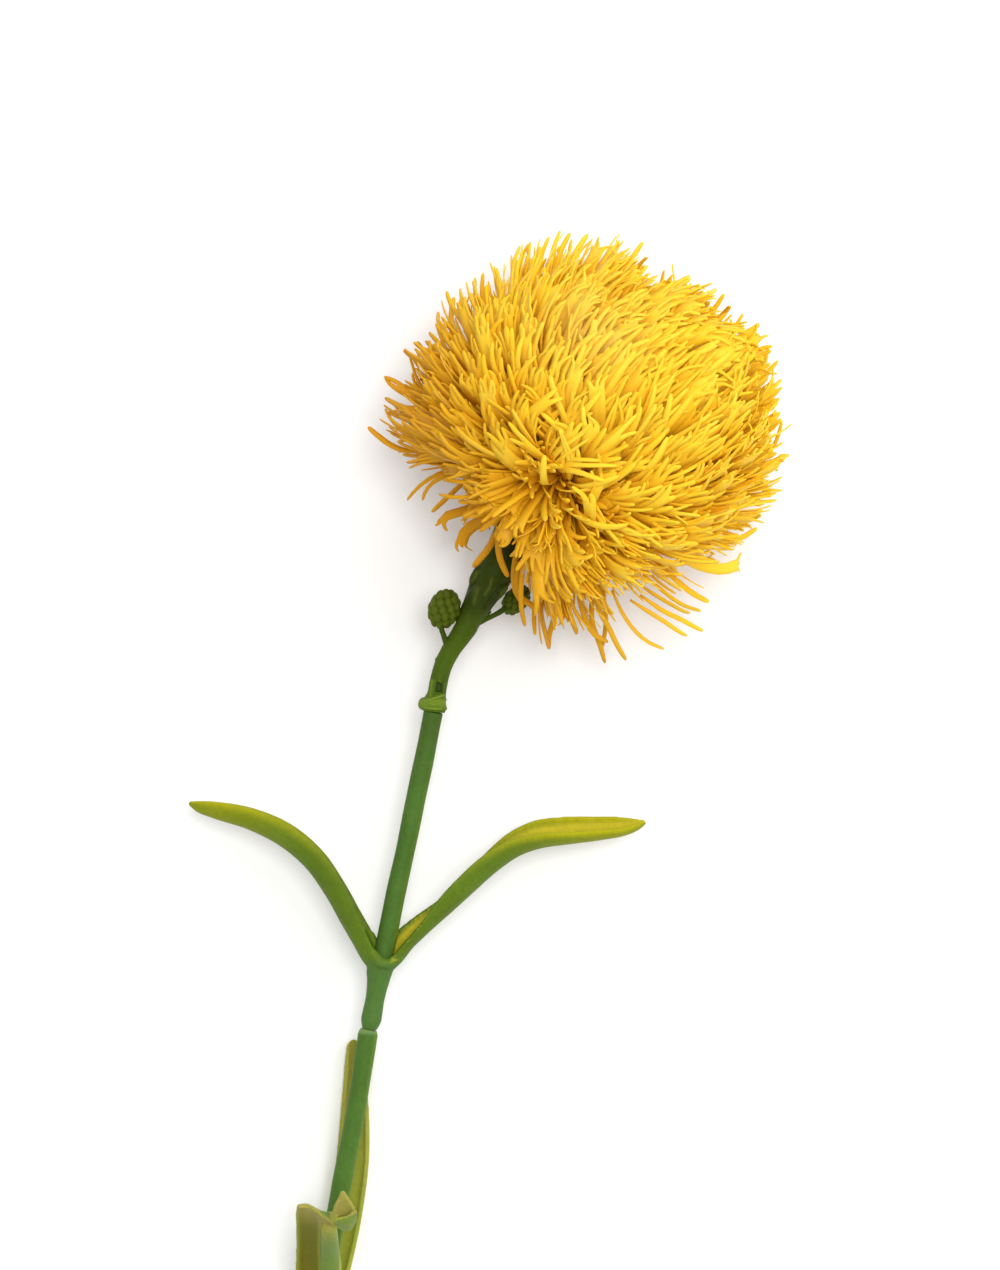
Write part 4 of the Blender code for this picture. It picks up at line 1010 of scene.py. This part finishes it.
def build_buds():
    mat = greens("bud_green", (0.058, 0.096, 0.003), (0.042, 0.072, 0.003), (0.12, 0.15, 0.008))
    knobs = fibonacci(KNOBS)
    for (name, centre, tip, half_long, half_wide), seat, stalk in zip(BUDS, BUD_SEATS, BUD_STALKS):
        axis = unit(tip - centre)
        side = unit(np.cross(axis, UP))
        other = np.cross(axis, side)
        lat = math.pi * (np.arange(BUD_ROWS) + 0.5) / BUD_ROWS
        lon = np.arange(BUD_SIDES) * 2 * math.pi / BUD_SIDES
        d = np.stack([np.sin(lat)[:, None] * np.cos(lon), np.sin(lat)[:, None] * np.sin(lon),
                      np.repeat(np.cos(lat)[:, None], BUD_SIDES, axis=1)], axis=2)
        near = (d.reshape(-1, 3) @ knobs.T).max(axis=1).reshape(BUD_ROWS, BUD_SIDES)
        gap = np.arccos(np.clip(near, -1, 1))
        bump = np.sqrt(np.clip(1 - (gap / 0.29) ** 2, 0.0, 1.0))
        size = 0.85 + 0.2 * bump
        rings = centre + size[..., None] * (half_wide * (d[..., :1] * side + d[..., 1:2] * other)
                                            + half_long * d[..., 2:] * axis)
        ball = loft(name + "_knobs", rings)
        give(ball, "warm_tint_and_highlight", np.append(0.6 * bump.reshape(-1), (0.6, 0.6)))
        finish_piece(ball, mat, "bud_green", name)
        line = with_radius([seat] + stalk, BUD_STALK_RADII)
        twig = loft(name + "_stalk", tube_rings(line, 40, 24))
        finish_piece(twig, mat, "bud_green")


def rod_lift(seed):
    """Faint unevenness of a stem."""
    def lift(at, turn, base):
        wave = np.sin(base[..., 1] * 0.21 + seed) + 0.6 * np.sin(base[..., 1] * 0.47 + 2 * turn + seed * 2)
        return 0.035 * wave
    return lift


def build_rods():
    mat = greens("stem_green", (0.084, 0.180, 0.028), (0.068, 0.150, 0.022), (0.15, 0.25, 0.025),
                 (0.062, 0.125, 0.018), (0.17, 0.27, 0.09))
    shoulders = (2.0, 2.27) + (ROD_RADIUS,) * 5
    for name, line, radii, dome in (
            ("stem_upper", ROD_TOP, (ROD_RADIUS,) * 8, (0.3, 0.5)),
            ("stem_lower", ROD_MIDDLE, shoulders, (0.5, 0.5)),
            ("stem_base", ROD_LOW, shoulders, (0.5, 0.25))):
        obj = loft(name + "_skin", tube_rings(with_radius(line, radii), 260, 48, rod_lift(len(name)), *dome))
        points = points_of(obj)
        # Painted highlight down the right side of each stem, the side toward the key lamp
        right = np.sin(points[:, 1] * 0.06 + 1.0) * 0.5 + 0.5
        u, v = picture(points).T
        upward = np.array(line)[::-1]
        middle = picture(upward)
        edge = u - np.interp(points[:, 1], upward[:, 1], middle[:, 0])
        give(obj, "warm_tint_and_highlight", smooth(edge, 4.5, 10.5) * (0.35 + 0.45 * right))
        give(obj, "fresh", (1.0 - smooth(v - middle[-1, 1], 1.0, 5.5)) * (name != "stem_upper"))
        give(obj, "inner", (1.0 - smooth(v, 712.0, 800.0)) * (name == "stem_upper"))
        finish_piece(obj, mat, "stem_green", name)


def leaf_frames(stations, across, inner, count):
    """Centre line, width and hollow directions, half width and depth of a leaf."""
    rows = [tuple(place(*s[:3])) + s[3:5] + (s[5:] or (0.0,)) for s in stations]
    fine = curve(rows, count)
    axis = unit(np.gradient(fine[:, :3], axis=0))
    wide = unit(across - (axis @ across)[:, None] * axis)
    hollow = np.cross(wide, axis)
    flip = np.sign(hollow @ inner)
    hollow = hollow * np.where(flip == 0, 1.0, flip)[:, None]
    wide, hollow = turned(wide, hollow, -np.radians(fine[:, 5])[:, None])
    return fine[:, :3], wide, hollow, fine[:, 3] / 2, fine[:, 4]


def leaf_solid(name, stations, across, inner):
    """Gutter leaf with an even wall as a closed mesh."""
    centre, wide, hollow, half, deep = leaf_frames(stations, across, inner, 110)
    a = np.linspace(0.0, math.pi, 25)
    wall = np.minimum(np.minimum(LEAF_WALL, 0.42 * half), 0.5 * deep)
    rows = []
    for side, level in ((half, deep[:, None] * (0.5 - np.sin(a))),
                        (half - wall, deep[:, None] * 0.5 - (deep - wall)[:, None] * np.sin(a))):
        row = centre[:, None] - wide[:, None] * (side[:, None] * np.cos(a))[..., None]
        rows.append(row + hollow[:, None] * level[..., None])
    return loft(name, np.concatenate([rows[0], rows[1][:, ::-1]], axis=1))


def sheet(name, rows, thick):
    """Closed plate of even thickness through rows of picture points."""
    grid = np.stack([curve(places(*row), 33) for row in rows])
    grid = np.stack([curve(grid[:, k], 13 * (len(rows) - 1)) for k in range(grid.shape[1])], axis=1)
    normal = unit(np.cross(np.gradient(grid, axis=1), np.gradient(grid, axis=0)))
    lift = normal * thick / 2
    return loft(name, np.concatenate([grid + lift, (grid - lift)[:, ::-1]], axis=1))


def drawn_tube(name, spots):
    """Round band through picture points with heights and radii."""
    line = with_radius(places(*(s[:3] for s in spots)), [s[3] for s in spots])
    return loft(name, tube_rings(line, 60, 24, None, 0.3, 0.3))


def applied(obj):
    """The object with its modifiers baked into its mesh."""
    graph = bpy.context.evaluated_depsgraph_get()
    mesh = bpy.data.meshes.new_from_object(obj.evaluated_get(graph))
    obj.modifiers.clear()
    obj.data = mesh
    return obj


def fused(name, parts, hole):
    """Parts grown into one skin, with the stem's seat cut into it."""
    for other in parts[1:]:
        other.select_set(True)
    base = parts[0]
    base.select_set(True)
    bpy.context.view_layer.objects.active = base
    with bpy.context.temp_override(active_object=base, selected_editable_objects=parts):
        bpy.ops.object.join()
    base.name = name
    remesh = base.modifiers.new("remesh", "REMESH")
    remesh.mode = "VOXEL"
    remesh.voxel_size = VOXEL * MM
    cut = base.modifiers.new("cut", "BOOLEAN")
    cut.operation = "DIFFERENCE"
    cut.solver = "MANIFOLD"
    cut.object = hole
    applied(base)
    bpy.data.objects.remove(hole, do_unlink=True)
    soften = base.modifiers.new("soften", "SMOOTH")
    soften.factor = 0.5
    soften.iterations = 5
    applied(base)
    base.data.shade_smooth()
    return base


def paint_leaves(obj, leaves):
    """Warm and inner tints of every point from the leaf it belongs to."""
    points = points_of(obj)
    normals = vertex_rows(obj, "normal")
    warm_tint_and_highlight = np.zeros(len(points))
    inner = np.zeros(len(points))
    nearest = np.full(len(points), 1e9)
    for stations, across, toward, tip_heat, edge_heat, inner_heat in leaves:
        centre, _, hollow, _, deep = leaf_frames(stations, across, toward, LEAF_STEPS)
        gaps = np.linalg.norm(points[:, None] - centre[None, :, :], axis=2)
        k = gaps.argmin(axis=1)
        gap = gaps[np.arange(len(points)), k]
        mine = gap < nearest
        nearest[mine] = gap[mine]
        at = k / (LEAF_STEPS - 1.0)
        off = points - centre[k]
        level = np.sum(off * hollow[k], axis=1) / deep[k]
        lip = smooth(level, 0.05, 0.5)
        facing = np.sum(normals * hollow[k], axis=1)
        hot = tip_heat * smooth(at, 0.45, 1.0) + edge_heat * lip * smooth(at, 0.3, 0.65)
        in_here = inner_heat * smooth(facing, 0.1, 0.5) * (level < 0.42)
        warm_tint_and_highlight[mine] = np.clip(hot, 0.0, 1.0)[mine]
        inner[mine] = in_here[mine]
    end = place(*leaves[0][0][1][:3])[1]
    low = smooth(-points[:, 1], -end - 1.5, -end + 4.0)
    give(obj, "warm_tint_and_highlight", warm_tint_and_highlight * (1.0 - low))
    give(obj, "inner", inner * (1.0 - low))
    give(obj, "fresh", low)


def paint_front(obj):
    """Tints of the leaf that rises to the view: tan edges, an olive face deepened partly by painted shade,
    green back.
    """
    points = points_of(obj)
    z = points[:, 2]
    uv = picture(points)
    u, v = uv.T
    mine = smooth(z, 11.0, 17.0)
    warm_tint_and_highlight = (1.0 - smooth(v - 0.5 * (u - 300), 1209.0, 1228.0)) * (u < 332)
    warm_tint_and_highlight = np.maximum(warm_tint_and_highlight, 0.8 * ridge(uv, [s[:2] for s in RIM], 1.6))
    warm_tint_and_highlight = np.maximum(warm_tint_and_highlight, 1.0 * smooth(z, 47.0, 48.5) * (v < 1217))
    strip = smooth(u, 319.0, 321.0) * (1.0 - smooth(u, 338.0, 341.0)) * smooth(v, 1219.0, 1224.0)
    warm_tint_and_highlight = np.maximum(warm_tint_and_highlight, strip * 0.75 * (1.0 - smooth(v, 1222.0, 1262.0)))
    # Olive face on the left: its own colour, darkened further with painted shade
    olive_face_and_shade = (1.0 - smooth(u, 316.0, 320.0)) * smooth(v, 1207.0, 1230.0)
    olive_face_and_shade = olive_face_and_shade * (0.45 + 0.55 * smooth(u, 296.0, 304.0))
    fresh = 0.9 * smooth(u, 319.0, 322.0) * (1.0 - smooth(u, 330.0, 334.0))
    fresh = fresh * (1.0 - smooth(v - 0.55 * (u - 317.0), 1210.0, 1213.0)) * (z < 47.0)
    lobe = 0.75 * smooth(z, 46.0, 48.0) * smooth(v + 0.38 * (u - 337), 1219.5, 1222.0)
    fresh = np.maximum(np.maximum(fresh, lobe), 0.85 * strip * smooth(v, 1222.0, 1250.0))
    for key, new in (("warm_tint_and_highlight", warm_tint_and_highlight), ("inner", 0.95 * olive_face_and_shade), ("fresh", fresh)):
        old = np.zeros(len(points), np.float32)
        obj.data.attributes[key].data.foreach_get("value", old)
        give(obj, key, old.astype(float) * (1.0 - mine) + np.clip(new, 0.0, 1.0) * mine)


def build_pair(name, sleeve, leaves, mat, extra, skip=()):
    """Sleeve, cup and two opposite leaves grown together."""
    top = sleeve[0]
    up = unit(sleeve[0] - sleeve[1])
    cup, seat = ([tuple(top + up * height) + (radius,) for height, radius in shape] for shape in (CUP, SEAT))
    stations = cup + with_radius(sleeve[1:], SLEEVE_RADII)
    parts = [loft("sleeve", tube_rings(stations, 160, 64, None, 0.0, 0.4))]
    for k, leaf in enumerate(leaves):
        if k not in skip:
            parts.append(leaf_solid("leaf_%d" % k, *leaf[:3]))
    parts += extra
    hole = loft("hole", tube_rings(seat, 20, 40))
    obj = fused(name + "_skin", parts, hole)
    paint_leaves(obj, leaves)
    if skip:
        paint_front(obj)
    finish_piece(obj, mat, "leaf_green", name)


def build_leaves():
    mat = greens("leaf_green", (0.122, 0.205, 0.015), (0.100, 0.163, 0.010), (0.42, 0.40, 0.006),
                 (0.54, 0.47, 0.02), (0.085, 0.18, 0.035))
    low = greens("low_leaf_green", (0.37, 0.41, 0.05), (0.31, 0.35, 0.038), (0.36, 0.325, 0.072),
                 (0.18, 0.168, 0.013), (0.14, 0.24, 0.045))
    build_pair("leaf_pair_upper", SLEEVE_TOP,
               [(LEAF_LEFT, UP, TOWARD_HEAD, 0.5, 0.5, 0.4),
                (LEAF_RIGHT, UP, TOWARD_HEAD, 0.6, 0.66, 0.95)], mat,
               [drawn_tube("band", CUP_BAND), drawn_tube("ear", EAR)])
    build_pair("leaf_pair_lower", SLEEVE_LOW,
               [(LEAF_BACK, CROSSWISE, np.array([0.0, 0.3, 1.0]), 0.5, 0.3, 0.1),
                (LEAF_FRONT, CROSSWISE, np.array([0.0, 1.0, -0.6]), 0.0, 0.0, 0.0)], low,
               [sheet("blade", BLADE, 1.0), sheet("patch", BACK_PATCH, 0.9), sheet("tip_in", TIP_IN, 0.9),
                sheet("tip_out", TIP_OUT, 0.9), drawn_tube("strip", STRIP), drawn_tube("rim", RIM)], (1,))


def build_stage():
    mesh = bpy.data.meshes.new("floor")
    corners = [(x * FLOOR_HALF, y * FLOOR_HALF, 0) for x, y in ((-1, -1), (1, -1), (1, 1), (-1, 1))]
    mesh.from_pydata(corners, [], [(0, 1, 2, 3)])
    floor = add_object("floor", mesh)
    mat, tree, shader = node_tree("floor_white")
    plug(tree, shader, [("Base Color", (0.98, 0.98, 0.98, 1.0)), ("Roughness", 0.9),
                        ("Specular IOR Level", 0.1)])
    mesh.materials.append(mat)


def build_light():
    head = Vector(HEAD * MM)
    for name, spot, size, power, colour in LAMPS:
        data = bpy.data.lights.new(name, "AREA")
        data.shape = "DISK"
        data.size = size
        data.energy = power
        data.color = colour
        lamp = add_object(name, data)
        lamp.location = spot
        lamp.rotation_euler = (head - Vector(spot)).to_track_quat("-Z", "Y").to_euler()
    world = bpy.data.worlds.new("studio")
    world.use_nodes = True
    plug(world.node_tree, world.node_tree.nodes["Background"],
         [("Color", (1.0, 1.0, 1.0, 1.0)), ("Strength", WORLD_STRENGTH)])
    bpy.context.scene.world = world
    bpy.context.scene.view_settings.view_transform = "Standard"
    bpy.context.scene.view_settings.look = "None"


def build_camera():
    data = bpy.data.cameras.new("camera")
    data.sensor_fit = "AUTO"
    data.sensor_width = SENSOR
    data.lens = SENSOR / 2 * VIEW_RANGE / (VIEW_V * VIEW_SCALE)
    data.clip_end = 20.0
    camera = add_object("camera", data)
    camera.location = (VIEW_X * MM, VIEW_Y * MM, VIEW_HEIGHT * MM)
    bpy.context.scene.camera = camera


build_camera()
build_stage()
build_light()
build_bloom()
build_neck_and_calyx()
build_buds()
build_rods()
build_leaves()
